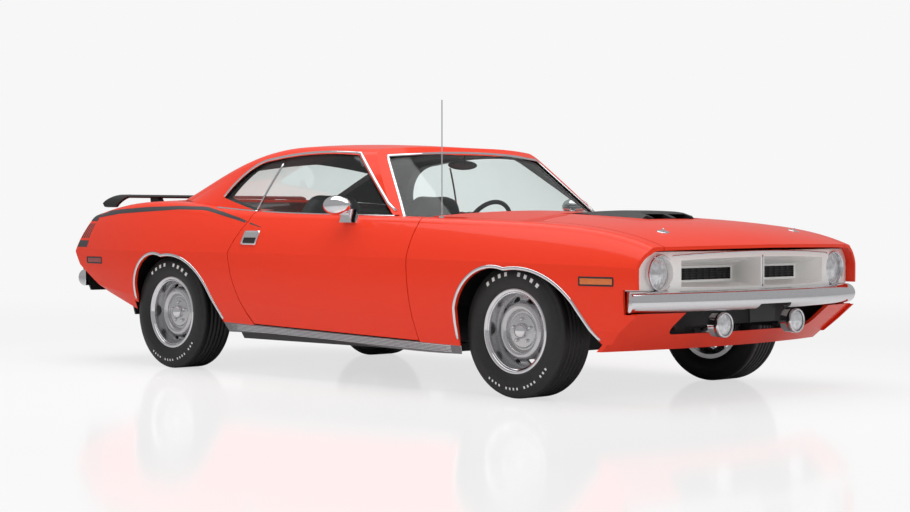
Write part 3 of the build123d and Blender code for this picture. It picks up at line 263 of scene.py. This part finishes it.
def arc(p, q, r, count):
    """Points on the circle through three points, without the first."""
    ax, ay, bx, by, cx, cy = *p, *q, *r
    d = 2 * (ax * (by - cy) + bx * (cy - ay) + cx * (ay - by))
    ux = ((ax**2 + ay**2) * (by - cy) + (bx**2 + by**2) * (cy - ay) + (cx**2 + cy**2) * (ay - by)) / d
    uy = ((ax**2 + ay**2) * (cx - bx) + (bx**2 + by**2) * (ax - cx) + (cx**2 + cy**2) * (bx - ax)) / d
    radius = math.hypot(ax - ux, ay - uy)
    a0, a1, a2 = (math.atan2(y - uy, x - ux) for x, y in (p, q, r))
    span = (a2 - a0) % math.tau
    if (a1 - a0) % math.tau > span:
        span -= math.tau
    return [(ux + radius * math.cos(a0 + span * n / count), uy + radius * math.sin(a0 + span * n / count))
            for n in range(1, count + 1)]


def line(p, q, count):
    """Points on a straight run, without the first."""
    return [(p[0] + (q[0] - p[0]) * n / count, p[1] + (q[1] - p[1]) * n / count) for n in range(1, count + 1)]


def stretch(p, q, count):
    """Points on a straight run, with the first."""
    return [p, *line(p, q, count)]


def round_trip(corners, count):
    """Closed path round the corners, count steps a side."""
    ends = [*corners[1:], corners[0]]
    return [corners[0], *(p for a, b in zip(corners, ends) for p in line(a, b, count))]


def outward(points, offset):
    """Plane path moved to the left of its run by offset."""
    out = []
    for n, (x, y) in enumerate(points):
        x0, y0 = points[max(0, n - 1)]
        x1, y1 = points[min(len(points) - 1, n + 1)]
        run = math.hypot(x1 - x0, y1 - y0)
        out.append((x - (y1 - y0) / run * offset, y + (x1 - x0) / run * offset))
    return out


def walk(points, t):
    """Point at share t of a polyline's length."""
    runs = [math.dist(a, b) for a, b in zip(points, points[1:])]
    left = t * sum(runs)
    for a, b, run in zip(points, points[1:], runs):
        if left <= run + 1e-9:
            return [a[k] + (b[k] - a[k]) * (left / run if run else 0.0) for k in (0, 1)]
        left -= run
    return list(points[-1])


# Section of a moulding, across by its half width and up by its rise
CROWN = [(-1.0, -0.2), (-1.0, 0.35), (-0.62, 0.85), (0.0, 1.0), (0.62, 0.85), (1.0, 0.35), (1.0, -0.2)]


def moulding(name, hits, half, rise, slot, body):
    """Crowned strip that follows places and normals on a surface."""
    verts = []
    for n, (place, normal) in enumerate(hits):
        ahead = hits[min(len(hits) - 1, n + 1)][0] - hits[max(0, n - 1)][0]
        across = ahead.normalized().cross(normal).normalized()
        verts += [place + across * (u * half) + normal * (v * rise) for u, v in CROWN]
    count = len(CROWN)
    faces = skin(len(hits), count)
    faces.append(tuple(range(count)))
    faces.append(tuple(range(len(verts) - count, len(verts))))
    return piece(name, verts, faces, slot, body)


def film(name, tree, edges, sign, across, along, lift, slot, body):
    """Thin film over the panels: two edges in x, z, sampled evenly and joined."""
    low, high = edges
    verts, index, faces = [], {}, []
    for n in range(along + 1):
        start, end = walk(low, n / along), walk(high, n / along)
        for m in range(across + 1):
            x, z = (start[k] + (end[k] - start[k]) * m / across for k in (0, 1))
            hit = cast(tree, (x, BESIDE * sign, z), (0, -sign, 0))
            if hit:
                index[n, m] = len(verts)
                verts.append(hit[0] + hit[1] * lift)
    for n in range(along):
        for m in range(across):
            keys = [(n, m), (n + 1, m), (n + 1, m + 1), (n, m + 1)]
            if all(k in index for k in keys):
                faces.append(tuple(index[k] for k in keys))
    return piece(name, verts, faces, slot, body)


def lathe(name, profile, centre, axis, count, slot, body):
    """Closed profile of radius and height turned about an axis through centre."""
    turn = Vector((0, 0, 1)).rotation_difference(Vector(axis)).to_matrix()
    verts = []
    for n in range(count):
        a = math.tau * n / count
        verts += [Vector(centre) + turn @ Vector((r * math.cos(a), r * math.sin(a), h)) for r, h in profile]
    return piece(name, verts, skin(count, len(profile), loop=True), slot, body)


# Half width and rise of each kind of moulding
ARCH_TRIM = (0.0085, 0.006)
RIB_TRIM = (0.0022, 0.0032)
BELT_TRIM = (0.008, 0.006)
DIVIDER_TRIM = (0.006, 0.006)
SHIELD_TRIM = (0.009, 0.006)
BACKLIGHT_TRIM = (0.008, 0.005)
HANDLE_TRIM = (0.006, 0.010)
GRILLE_TRIM = (0.004, 0.004)
MARKER_TRIM = (0.004, 0.003)

# Wheel arch mouldings: each arch's points are x from the axle and z from the floor
ARCH_INSET, ARCH_FOOT = 0.009, 0.275
ARCHES = {
    "front": {"panel": "fender_", "axle": FRONT_AXLE, "rear": -0.335, "spring": 0.430, "bend": (-0.251, 0.565),
              "top": (0.0, 0.619), "fore": (0.259, 0.587), "knee": (0.419, 0.473), "toe": (0.700, 0.097),
              "end_z": 0.285},
    "rear": {"panel": "quarter_", "axle": REAR_AXLE, "rear": -0.290, "spring": 0.470, "bend": (-0.232, 0.592),
             "top": (0.0, 0.648), "fore": (0.230, 0.622), "knee": (0.409, 0.482), "toe": (0.690, 0.053),
             "end_z": 0.300},
}
for side, sign in SIDES.items():
    for end, arch in ARCHES.items():
        spring = (arch["rear"], arch["spring"])
        path = stretch((arch["rear"], ARCH_FOOT), spring, 8)
        path += arc(spring, arch["bend"], arch["top"], 18)
        path += arc(arch["top"], arch["fore"], arch["knee"], 18)
        path += [p for p in line(arch["knee"], arch["toe"], 24) if p[1] > arch["end_z"]]
        path = outward([(arch["axle"] + x, z) for x, z in path], ARCH_INSET)
        hits = side_on(surface(arch["panel"] + side), path, sign)
        moulding("arch_moulding_%s_%s" % (end, side), hits, *ARCH_TRIM, "chrome", "chassis")

# Ribs along the rocker mouldings, from the rear wheel to the front one
RIB_ROWS, RIB_SPAN = 5, 0.036
RIB_REAR, RIB_FRONT = (-0.700, 0.248), (1.040, 0.206)
rocker = surface("rocker_mouldings")
for side, sign in SIDES.items():
    for row in range(RIB_ROWS):
        rise = RIB_SPAN * ((row + 0.5) / RIB_ROWS)
        path = stretch((RIB_REAR[0], RIB_REAR[1] + rise), (RIB_FRONT[0], RIB_FRONT[1] + rise), 24)
        moulding("rocker_rib_%s_%d" % (side, row + 1), side_on(rocker, path, sign), *RIB_TRIM, "chrome", "chassis")

# Side window surround: the hole's upper edge from the windshield post to the tail, then the belt line and the divider
FRAME_INSET = 0.011
WINDOW_TOP = stretch((FRONT_AXLE - 0.895, 0.880), (FRONT_AXLE - 1.357, 1.213), 16)
WINDOW_TOP += arc(WINDOW_TOP[-1], (FRONT_AXLE - 1.650, 1.226), (REAR_AXLE + 0.662, 1.196), 16)
WINDOW_TOP += arc(WINDOW_TOP[-1], (REAR_AXLE + 0.470, 1.130), (REAR_AXLE + 0.350, 0.990), 16)
BELT_Y, BELT_FROM_Z = 0.806, 1.3
DOOR_BELT_X, QUARTER_BELT_X = (-0.562, 0.540), (-0.940, -0.580)
DIVIDER = stretch((-0.603, 0.920), (-0.531, 1.178), 12)
pane = surface("quarter_glass")
for side, sign in SIDES.items():
    door, quarter = "door_" + side, "quarter_" + side
    hits = side_on(surface("roof", quarter), outward(WINDOW_TOP, -FRAME_INSET)[1:], sign)
    moulding("window_surround_" + side, hits, *ARCH_TRIM, "chrome", "chassis")
    for node, body, (x0, x1) in ((door, door, DOOR_BELT_X), (quarter, "chassis", QUARTER_BELT_X)):
        top = surface(node)
        hits = [cast(top, (x, sign * BELT_Y, BELT_FROM_Z), (0, 0, -1)) for x, _ in stretch((x0, 0), (x1, 0), 24)]
        moulding("belt_%s_%s" % (node, body), [h for h in hits if h], *BELT_TRIM, "chrome", body)
    moulding("glass_divider_" + side, side_on(pane, DIVIDER, sign), *DIVIDER_TRIM, "chrome", "chassis")

# Windshield surround, as y and z seen from the front
SHIELD_FOOT, SHIELD_CORNER, SHIELD_TOP_Z = (0.764, 0.850), (0.577, 1.196), 1.220
SHIELD_X = 0.1
shell = surface("roof")
edge = stretch((-SHIELD_FOOT[0], SHIELD_FOOT[1]), (-SHIELD_CORNER[0], SHIELD_CORNER[1]), 16)
edge += arc(edge[-1], (0.0, SHIELD_TOP_Z), SHIELD_CORNER, 24)
edge += line(SHIELD_CORNER, SHIELD_FOOT, 16)
hits = [cast(shell, (CLEAR_OF_ROOF, y, z), (-1, 0, 0)) for y, z in outward(edge, FRAME_INSET)]
moulding("windshield_surround", [h for h in hits if h and h[0].x > SHIELD_X], *SHIELD_TRIM, "chrome", "chassis")

# Rear window surround, as x and y seen from above
LIGHT_X0, LIGHT_X1, LIGHT_BOW = REAR_AXLE - 0.340, REAR_AXLE + 0.292, 0.030
LIGHT_Y0, LIGHT_Y1 = 0.568, 0.505
LIGHT_Z = 0.9
edge = stretch((LIGHT_X0, -LIGHT_Y0), (LIGHT_X1 - LIGHT_BOW, -LIGHT_Y1), 20)
edge += line((LIGHT_X1 - LIGHT_BOW, -LIGHT_Y1), (LIGHT_X1, 0.0), 12)
edge += line((LIGHT_X1, 0.0), (LIGHT_X1 - LIGHT_BOW, LIGHT_Y1), 12)
edge += line((LIGHT_X1 - LIGHT_BOW, LIGHT_Y1), (LIGHT_X0, LIGHT_Y0), 20)
hits = [cast(shell, (x, y, CLEAR_OF_ROOF), (0, 0, -1)) for x, y in outward(edge, -FRAME_INSET)]
moulding("backlight_surround", [h for h in hits if h and h[0].z > LIGHT_Z], *BACKLIGHT_TRIM, "chrome", "chassis")

# Side stripe: a thin line along the hip that widens at the tail, bars below it and a block at the bottom
FILM = 0.0006
STRIPE_TOP = [(-2.120, 0.913), (-1.881, 0.927), (-1.573, 0.940), (-1.275, 0.945), (-1.051, 0.940), (-0.996, 0.935),
              (-0.827, 0.907), (-0.665, 0.876), (-0.588, 0.857)]
STRIPE_LOW = [(-2.100, 0.878), (-1.855, 0.901), (-1.550, 0.913), (-1.249, 0.924), (-1.030, 0.920), (-0.965, 0.913),
              (-0.809, 0.885), (-0.647, 0.857), (-0.580, 0.842)]
STRIPE_TURN = [(-2.196, 0.856), (-2.108, 0.856)], [(-2.166, 0.906), (-2.100, 0.914)]
STRIPE_BLOCK = [(-2.288, 0.697), (-2.161, 0.697)], [(-2.268, 0.738), (-2.146, 0.738)]
STRIPE_TIP = [(-0.556, 0.841), (-0.442, 0.821)], [(-0.556, 0.850), (-0.442, 0.823)]
# Bars: rear end, length and height of their row's foot and head, and the share of its pitch that a bar fills
BARS = 4
BAR_FOOT, BAR_HEAD = (-2.258, 0.115, 0.752), (-2.203, 0.085, 0.842)
BAR_FILL = (0.12, 0.70)
for side, sign in SIDES.items():
    hip = surface("quarter_" + side)
    film("stripe_line_" + side, hip, (STRIPE_LOW, STRIPE_TOP), sign, 3, 90, FILM, "stripe", "chassis")
    film("stripe_turn_" + side, hip, STRIPE_TURN, sign, 6, 8, FILM, "stripe", "chassis")
    film("stripe_block_" + side, hip, STRIPE_BLOCK, sign, 6, 12, FILM, "stripe", "chassis")
    for n in range(BARS):
        ends = [(n + share) / BARS for share in BAR_FILL]
        edges = [[(x + run * t, z) for t in ends] for x, run, z in (BAR_FOOT, BAR_HEAD)]
        film("stripe_bar_%s_%d" % (side, n + 1), hip, edges, sign, 8, 2, FILM, "stripe", "chassis")
    film("stripe_tip_" + side, surface("door_" + side), STRIPE_TIP, sign, 2, 10, FILM, "stripe", "door_" + side)

# Door handles: a raised frame, the flap in its upper half, and below it a black film on the panel as painted shade in
# the finger hole
HANDLE_FOOT = [(-0.566, 0.730), (-0.448, 0.730)]
HANDLE_MIDDLE = [(-0.560, 0.764), (-0.444, 0.764)]
HANDLE_FLAP = [(-0.556, 0.798), (-0.440, 0.798)]
FLAP_LIFT, HOLE_SHADE_LIFT = 0.007, 0.002
for side, sign in SIDES.items():
    door = "door_" + side
    panel = surface(door)
    path = round_trip([*HANDLE_FOOT, *reversed(HANDLE_FLAP)], 6)
    moulding("handle_frame_" + side, side_on(panel, path, sign), *HANDLE_TRIM, "chrome", door)
    film("handle_flap_" + side, panel, (HANDLE_MIDDLE, HANDLE_FLAP), sign, 4, 8, FLAP_LIFT, "chrome", door)
    # Black film standing in for the finger hole: painted shade where the recess under the flap lies in shadow
    film("handle_hole_shade_" + side, panel, (HANDLE_FOOT, HANDLE_MIDDLE), sign, 4, 8, HOLE_SHADE_LIFT, "black", door)

# Hood pins: a round plate and a pin through it
PIN_X, PIN_Y, PIN_FROM_Z = 2.090, 0.523, 1.3
PIN_PLATE = [(0.0, 0.0035), (0.026, 0.0035), (0.031, 0.0015), (0.031, -0.002), (0.0, -0.002)]
PIN = [(0.0, 0.018), (0.004, 0.017), (0.0055, 0.013), (0.0055, 0.0), (0.0, 0.0)]
hood_top = surface("hood")
for side, sign in SIDES.items():
    place, normal = cast(hood_top, (PIN_X, sign * PIN_Y, PIN_FROM_Z), (0, 0, -1))
    lathe("hood_pin_plate_" + side, PIN_PLATE, place, normal, 32, "chrome", "hood")
    lathe("hood_pin_" + side, PIN, place, normal, 16, "chrome", "hood")

# Lamp bezels: a chrome ring round each headlamp and each fog lamp
HEADLAMP_X, HEADLAMP_Y, HEADLAMP_Z = FRONT_AXLE + 0.770, 0.693, 0.618
FOG_RING_X, FOG_Y, FOG_Z = FOG_X - 0.014, 0.290, 0.367
BEZEL = [(0.0783, -0.030), (0.0783, 0.004), (0.0800, 0.010), (0.0835, 0.011), (0.0862, 0.006), (0.0868, -0.030)]
FOG_RING = [(0.0500, 0.000), (0.0520, 0.006), (0.0570, 0.006), (0.0610, 0.000), (0.0610, -0.022), (0.0578, -0.022),
            (0.0578, -0.004)]
for side, sign in SIDES.items():
    place = (HEADLAMP_X, sign * HEADLAMP_Y, HEADLAMP_Z)
    lathe("headlamp_bezel_" + side, BEZEL, place, (1, 0, 0), 64, "chrome", "chassis")
    place = (FOG_RING_X, sign * FOG_Y, FOG_Z)
    lathe("fog_ring_" + side, FOG_RING, place, (1, 0, 0), 48, "chrome", "chassis")

# Bright edges of the grille: along its top under the hood, and down the middle post
GRILLE_HALF, GRILLE_TOP_Z, GRILLE_DROP, GRILLE_FACE_X = 0.62, 0.714, 0.018, FRONT_AXLE + 0.78
POST_Z, POST_HEIGHT = 0.545, 0.150
front = surface("grille")
across = [-GRILLE_HALF + 2 * GRILLE_HALF * n / 60 for n in range(61)]
hits = [cast(front, (AHEAD, y, GRILLE_TOP_Z - GRILLE_DROP * (y / GRILLE_HALF) ** 2), (-1, 0, 0)) for y in across]
hits = [h for h in hits if h and h[0].x > GRILLE_FACE_X]
moulding("grille_top_edge", hits, *GRILLE_TRIM, "chrome", "chassis")
hits = [cast(front, (AHEAD, 0.0, POST_Z + POST_HEIGHT * n / 12), (-1, 0, 0)) for n in range(13)]
hits = [h for h in hits if h and h[0].x > GRILLE_FACE_X]
moulding("grille_post_edge", hits, *GRILLE_TRIM, "chrome", "chassis")

# Ends of the bumper bars, closed by a slightly domed plate: share of the bar's section, and how far it stands out
BUMPER_DEPTH, BUMPER_HALF_H, BUMPER_CORE = 0.060, 0.048, 0.024
BUMPERS = (("front", 1, 2.636, 0.890, 0.487), ("rear", -1, 3.748, 0.858, 0.508))
DOME = ((1.0, 0.0), (0.97, 0.0015), (0.75, 0.003), (0.0, 0.0035))
for name, way, radius, half, z in BUMPERS:
    for side, sign in SIDES.items():
        swing = math.asin(half / radius)
        back = radius - BUMPER_DEPTH
        core = back + BUMPER_CORE
        rim = [(back, -BUMPER_HALF_H), *arc((back, -BUMPER_HALF_H), (radius, 0.0), (back, BUMPER_HALF_H), 20)]
        verts = []
        for share, out in DOME:
            for r, h in rim:
                reach = core + (r - core) * share
                place = Vector((reach * math.cos(swing), sign * reach * math.sin(swing), z + h * share))
                place += Vector((-math.sin(swing), sign * math.cos(swing), 0)) * out
                verts.append(Vector((way * (NOSE_TIP - radius + place.x), place.y, place.z)))
        piece("bumper_end_%s_%s" % (name, side), verts, skin(len(DOME), len(rim)), "chrome", "chassis")

# Dark frames of the side marker lamps: panel, then x and z of the lower rear and upper front corners
MARKERS = (("fender_", 1.911, 2.101, 0.562, 0.598), ("quarter_", -2.152, -1.962, 0.602, 0.636))
for side, sign in SIDES.items():
    for panel, x0, x1, z0, z1 in MARKERS:
        path = round_trip([(x0, z0), (x1, z0), (x1, z1), (x0, z1)], 8)
        hits = side_on(surface(panel + side, "side_markers"), path, sign)
        moulding("marker_frame_%s%s" % (panel, side), hits, *MARKER_TRIM, "black", "chassis")

# Wheels: trim ring, centre cap and lug nuts, as radius and distance out from the wheel's middle
WHEELS = {"front": (FRONT_AXLE, 0.758), "rear": (REAR_AXLE, 0.771)}
TRIM_RING = [(0.2095, 0.086), (0.2100, 0.093), (0.2070, 0.0975), (0.1990, 0.0985), (0.1920, 0.0955),
             (0.1875, 0.087), (0.1850, 0.070), (0.1835, 0.070), (0.1840, 0.088), (0.2080, 0.085)]
CAP = [(0.0, 0.0765), (0.012, 0.0758), (0.024, 0.0725), (0.032, 0.066), (0.0372, 0.056), (0.0390, 0.043),
       (0.0375, 0.040), (0.0, 0.040)]
NUT = [(0.0, 0.0560), (0.006, 0.0555), (0.0085, 0.0520), (0.0105, 0.0400), (0.0, 0.0400)]
NUTS, NUT_CIRCLE = 5, 0.057

# Tyre: bead, bulge and shoulder of the wall, two raised rings on it, and the grooves round the tread
TYRE_R, TREAD_HALF = 0.326, 0.081
BEAD, BULGE, SHOULDER = (0.1982, 0.0838), (0.264, 0.113), (0.310, 0.099)
WALL_RINGS, RING_RISE = ((0.2110, 0.2190), (0.2930, 0.3020)), 0.0012
GROOVES = (0.054, 0.027, 0.0, -0.027, -0.054)
GROOVE_R, GROOVE_TOP, GROOVE_FLOOR = 0.3185, 0.0042, 0.003
wall = [BEAD, *arc((0.198, 0.084), BULGE, SHOULDER, 16)]
wall = [(r, h + (RING_RISE if any(low < r < high for low, high in WALL_RINGS) else 0.0)) for r, h in wall]
wall += arc(SHOULDER, (0.322, 0.093), (TYRE_R, TREAD_HALF), 5)
tread = []
for g in GROOVES:
    tread += [(TYRE_R, g + GROOVE_TOP), (GROOVE_R, g + GROOVE_FLOOR), (GROOVE_R, g - GROOVE_FLOOR),
              (TYRE_R, g - GROOVE_TOP)]
TYRE = wall + tread + [(r, -h) for r, h in reversed(wall)]

# Plain white bars on the wall: first angle, count, pitch in degrees, inner and outer radius; every fifth is left out
MARK_ROWS = ((52.0, 9, 9.0, 0.268, 0.288), (236.0, 18, 5.0, 0.272, 0.284))
MARK_GROUP, MARK_FILL = 5, 0.42
MARK_OUT, MARK_CURVE, MARK_LIFT = 0.1135, 5.3, 0.0012


def tyre_marks(name, centre, out, body):
    verts, faces = [], []
    for start, count, step, low, high in MARK_ROWS:
        for n in range(count):
            if n % MARK_GROUP == MARK_GROUP - 1:
                continue
            a0 = math.radians(start + n * step)
            a1 = a0 + math.radians(step * MARK_FILL)
            for a, r in ((a0, low), (a1, low), (a1, high), (a0, high)):
                h = MARK_OUT - max(0.0, r - BULGE[0]) ** 2 * MARK_CURVE
                verts.append(centre + Vector((r * math.cos(a), 0, r * math.sin(a))) + out * (h + MARK_LIFT))
            faces.append(tuple(range(len(verts) - 4, len(verts))))
    piece(name, verts, faces, "white_mark", body)


for end, (x, track) in WHEELS.items():
    for side, sign in SIDES.items():
        corner = "%s_%s" % (end, side)
        body = "wheel_" + corner
        centre = Vector((x, sign * track, AXLE_Z))
        out = Vector((0, sign, 0))
        lathe("trim_ring_" + corner, TRIM_RING, centre, out, 96, "chrome", body)
        lathe("centre_cap_" + corner, CAP, centre, out, 48, "chrome", body)
        for n in range(NUTS):
            a = math.tau * (n + 0.25) / NUTS
            spot = centre + Vector((NUT_CIRCLE * math.cos(a), 0, NUT_CIRCLE * math.sin(a)))
            lathe("lug_nut_%s_%d" % (corner, n + 1), NUT, spot, out, 6, "chrome", body)
        tyre = lathe("tyre_%s_ribbed" % corner, TYRE, centre, out, 128, "rubber", body)
        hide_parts("tyre_" + corner)
        tyre_marks("tyre_marks_" + corner, centre, out, body)

# Seats: crowned pads with sewn channels, sides pulled in between the corners
PAD_CUTS, PAD_POWER = 23, 6.0
PAD_PULL, PAD_CROWN = 0.04, 0.16
CHANNEL_DEPTH, CHANNEL_POWER, CHANNEL_FROM = 0.10, 0.35, 0.3


def pad(name, size, place, tilt, channels, node, round_top=0.0):
    build = bmesh.new()
    bmesh.ops.create_cube(build, size=2.0)
    bmesh.ops.subdivide_edges(build, edges=build.edges, cuts=PAD_CUTS, use_grid_fill=True)
    turn = Matrix.Rotation(math.radians(tilt), 4, "Y")
    for v in build.verts:
        u = v.co.copy()
        p = u / sum(abs(c) ** PAD_POWER for c in u) ** (1 / PAD_POWER)
        pull = 1.0 - PAD_PULL * (1 - p.x * p.x) * abs(p.y) - PAD_PULL * (1 - p.y * p.y) * abs(p.x)
        p = Vector((p.x * pull, p.y * pull, p.z * (1.0 - PAD_CROWN * (p.x * p.x + p.y * p.y))))
        if p.z > CHANNEL_FROM:
            p.z -= CHANNEL_DEPTH * (1 - abs(math.sin(math.pi * channels * (p.y + 1) / 2)) ** CHANNEL_POWER)
        if p.x > 0:
            p.y *= 1.0 - round_top * p.x * p.x
        v.co = Vector(place) + turn @ Vector((p.x * size[0] / 2, p.y * size[1] / 2, p.z * size[2] / 2))
    mesh = bpy.data.meshes.new(name)
    build.to_mesh(mesh)
    build.free()
    obj = attach(name, mesh, "vinyl", "chassis")
    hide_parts(node)


SEAT_Y = 0.40
SEAT_BASE = [(0.0, -0.062), (0.17, -0.062), (0.185, -0.04), (0.185, 0.03), (0.0, 0.03)]
for side, sign in SIDES.items():
    y = sign * SEAT_Y
    pad("seat_cushion_" + side, (0.50, 0.50, 0.15), (-0.165, y, 0.395), -5, 6, "front_seats")
    pad("seat_back_" + side, (0.66, 0.48, 0.12), (-0.478, y, 0.690), -74, 6, "front_seats", round_top=0.3)
    base = lathe("seat_base_" + side, SEAT_BASE, (-0.175, y, 0.322), (0, 0, 1), 4, "trim", "chassis")
    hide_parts("front_seats")
pad("rear_cushion", (0.42, 1.16, 0.12), (-0.860, 0, 0.505), -6, 10, "rear_seat")
pad("rear_back", (0.40, 1.16, 0.11), (-1.100, 0, 0.690), -74, 10, "rear_seat")

# Inside mirror, a turned shell drawn out sideways, on its stem under the windshield header
MIRROR_X, MIRROR_Z, MIRROR_STRETCH = 0.235, 1.168, 4.2
MIRROR = [(0.0, 0.010), (0.016, 0.009), (0.026, 0.004), (0.027, -0.004), (0.020, -0.012), (0.0, -0.014)]
MIRROR_STEM = [(0.0, 0.0), (0.006, 0.0), (0.005, 0.062), (0.012, 0.070), (0.0, 0.070)]
mirror = lathe("inside_mirror", MIRROR, (0, 0, 0), (1, 0, 0), 32, "trim", "chassis")
for v in mirror.data.vertices:
    v.co = Vector((MIRROR_X + v.co.x, v.co.y * MIRROR_STRETCH, MIRROR_Z + v.co.z))
lathe("mirror_stem", MIRROR_STEM, (0.246, 0, 1.172), (0.12, 0, 1), 12, "chrome", "chassis")

# Studio floor: pale, with a soft mirror image; away from the car both fade into the white surround
FLOOR_HALF = 60
FADE_FROM, FADE_TO = 4.0, 13.0
floor_mesh = bpy.data.meshes.new("floor")
corners = [(-FLOOR_HALF, -FLOOR_HALF, 0), (FLOOR_HALF, -FLOOR_HALF, 0), (FLOOR_HALF, FLOOR_HALF, 0),
           (-FLOOR_HALF, FLOOR_HALF, 0)]
floor_mesh.from_pydata(corners, [], [(0, 1, 2, 3)])
floor = bpy.data.objects.new("floor", floor_mesh)
bpy.context.scene.collection.objects.link(floor)
floor_mat = material("studio_floor", (0.88, 0.88, 0.88), 0.6, spread=0.004, scale=2.0)
floor.data.materials.append(floor_mat)
tree = floor_mat.node_tree
base = tree.nodes["Principled BSDF"]
base.inputs["Specular IOR Level"].default_value = 0.0
pale = tree.nodes.new("ShaderNodeEmission")
pale.inputs["Color"].default_value = (1.0, 1.0, 1.0, 1.0)
shine = tree.nodes.new("ShaderNodeBsdfGlossy")
shine.inputs["Roughness"].default_value = 0.09
shine.inputs["Color"].default_value = (0.95, 0.95, 0.95, 1.0)
path = tree.nodes.new("ShaderNodeLightPath")
white = tree.nodes.new("ShaderNodeMixShader")
place = tree.nodes.new("ShaderNodeTexCoord")
reach = tree.nodes.new("ShaderNodeVectorMath")
reach.operation = "LENGTH"
tree.links.new(place.outputs["Object"], reach.inputs[0])


def fade(near, far):
    """Value that runs from near to far with the distance from the car."""
    span = tree.nodes.new("ShaderNodeMapRange")
    span.inputs["From Min"].default_value = FADE_FROM
    span.inputs["From Max"].default_value = FADE_TO
    span.inputs["To Min"].default_value = near
    span.inputs["To Max"].default_value = far
    tree.links.new(reach.outputs["Value"], span.inputs["Value"])
    return span.outputs["Result"]


tree.links.new(fade(0.68, 1.0), white.inputs["Fac"])
tree.links.new(fade(1.26, 0.93), pale.inputs["Strength"])
tree.links.new(base.outputs["BSDF"], white.inputs[1])
tree.links.new(pale.outputs["Emission"], white.inputs[2])
seen = tree.nodes.new("ShaderNodeMixShader")
tree.links.new(path.outputs["Is Camera Ray"], seen.inputs["Fac"])
tree.links.new(base.outputs["BSDF"], seen.inputs[1])
tree.links.new(white.outputs["Shader"], seen.inputs[2])
gloss = tree.nodes.new("ShaderNodeMixShader")
tree.links.new(fade(0.25, 0.0), gloss.inputs["Fac"])
tree.links.new(seen.outputs["Shader"], gloss.inputs[1])
tree.links.new(shine.outputs["BSDF"], gloss.inputs[2])
tree.links.new(gloss.outputs["Shader"], tree.nodes["Material Output"].inputs["Surface"])

# Surround: seen white by the camera and through the glass, and a dimmer light for everything else
world = bpy.data.worlds.new("studio")
bpy.context.scene.world = world
world.use_nodes = True
tree = world.node_tree
back = tree.nodes["Background"]
back.inputs["Color"].default_value = (0.95, 0.95, 0.96, 1.0)
back.inputs["Strength"].default_value = 0.42
bright = tree.nodes.new("ShaderNodeBackground")
bright.inputs["Color"].default_value = (0.93, 0.93, 0.93, 1.0)
bright.inputs["Strength"].default_value = 1.0
path = tree.nodes.new("ShaderNodeLightPath")
seen = tree.nodes.new("ShaderNodeMath")
seen.operation = "MAXIMUM"
tree.links.new(path.outputs["Is Camera Ray"], seen.inputs[0])
tree.links.new(path.outputs["Is Transmission Ray"], seen.inputs[1])
mix = tree.nodes.new("ShaderNodeMixShader")
tree.links.new(seen.outputs["Value"], mix.inputs["Fac"])
tree.links.new(back.outputs["Background"], mix.inputs[1])
tree.links.new(bright.outputs["Background"], mix.inputs[2])
tree.links.new(mix.outputs["Shader"], tree.nodes["World Output"].inputs["Surface"])


# Lights: the side and nose boxes stay out of mirror images
def light(name, place, aim, size, power):
    data = bpy.data.lights.new(name, "AREA")
    data.shape = "RECTANGLE"
    data.size, data.size_y = size
    data.energy = power
    obj = bpy.data.objects.new(name, data)
    obj.location = place
    obj.rotation_euler = (Vector(aim) - Vector(place)).to_track_quat("-Z", "Y").to_euler()
    bpy.context.scene.collection.objects.link(obj)
    return obj


light("top_box", (0.0, -0.5, 5.0), (0.0, 0.0, 0.6), (8.0, 4.5), 220.0)
for box in (light("side_box", (2.0, -8.5, 4.0), (0.0, 0.0, 0.6), (8.0, 3.0), 175.0),
            light("nose_box", (8.5, 1.0, 3.6), (1.5, 0.0, 0.6), (4.0, 3.0), 90.0)):
    box.visible_glossy = False

# Camera fitted to the photo
CAMERA_PLACE = (7.8315, -7.5925, 0.8626)
CAMERA_AZ, CAMERA_EL = math.radians(45.25), math.radians(1.07)
FOCAL_PX, PHOTO_WIDTH_PX = 1925.8, 910.0
SENSOR_MM = 36.0
camera_data = bpy.data.cameras.new("camera")
camera = bpy.data.objects.new("camera", camera_data)
bpy.context.scene.collection.objects.link(camera)
bpy.context.scene.camera = camera
camera_data.sensor_width = SENSOR_MM
camera_data.lens = FOCAL_PX * SENSOR_MM / PHOTO_WIDTH_PX
camera_data.clip_end = 200.0
back_axis = Vector((math.sin(CAMERA_AZ) * math.cos(CAMERA_EL), -math.cos(CAMERA_AZ) * math.cos(CAMERA_EL),
                    math.sin(CAMERA_EL)))
right_axis = (-back_axis).cross(Vector((0, 0, 1))).normalized()
up_axis = back_axis.cross(right_axis)
turn = Matrix((right_axis, up_axis, back_axis)).transposed().to_4x4()
camera.matrix_world = Matrix.Translation(CAMERA_PLACE) @ turn

bpy.context.scene.view_settings.view_transform = "Standard"
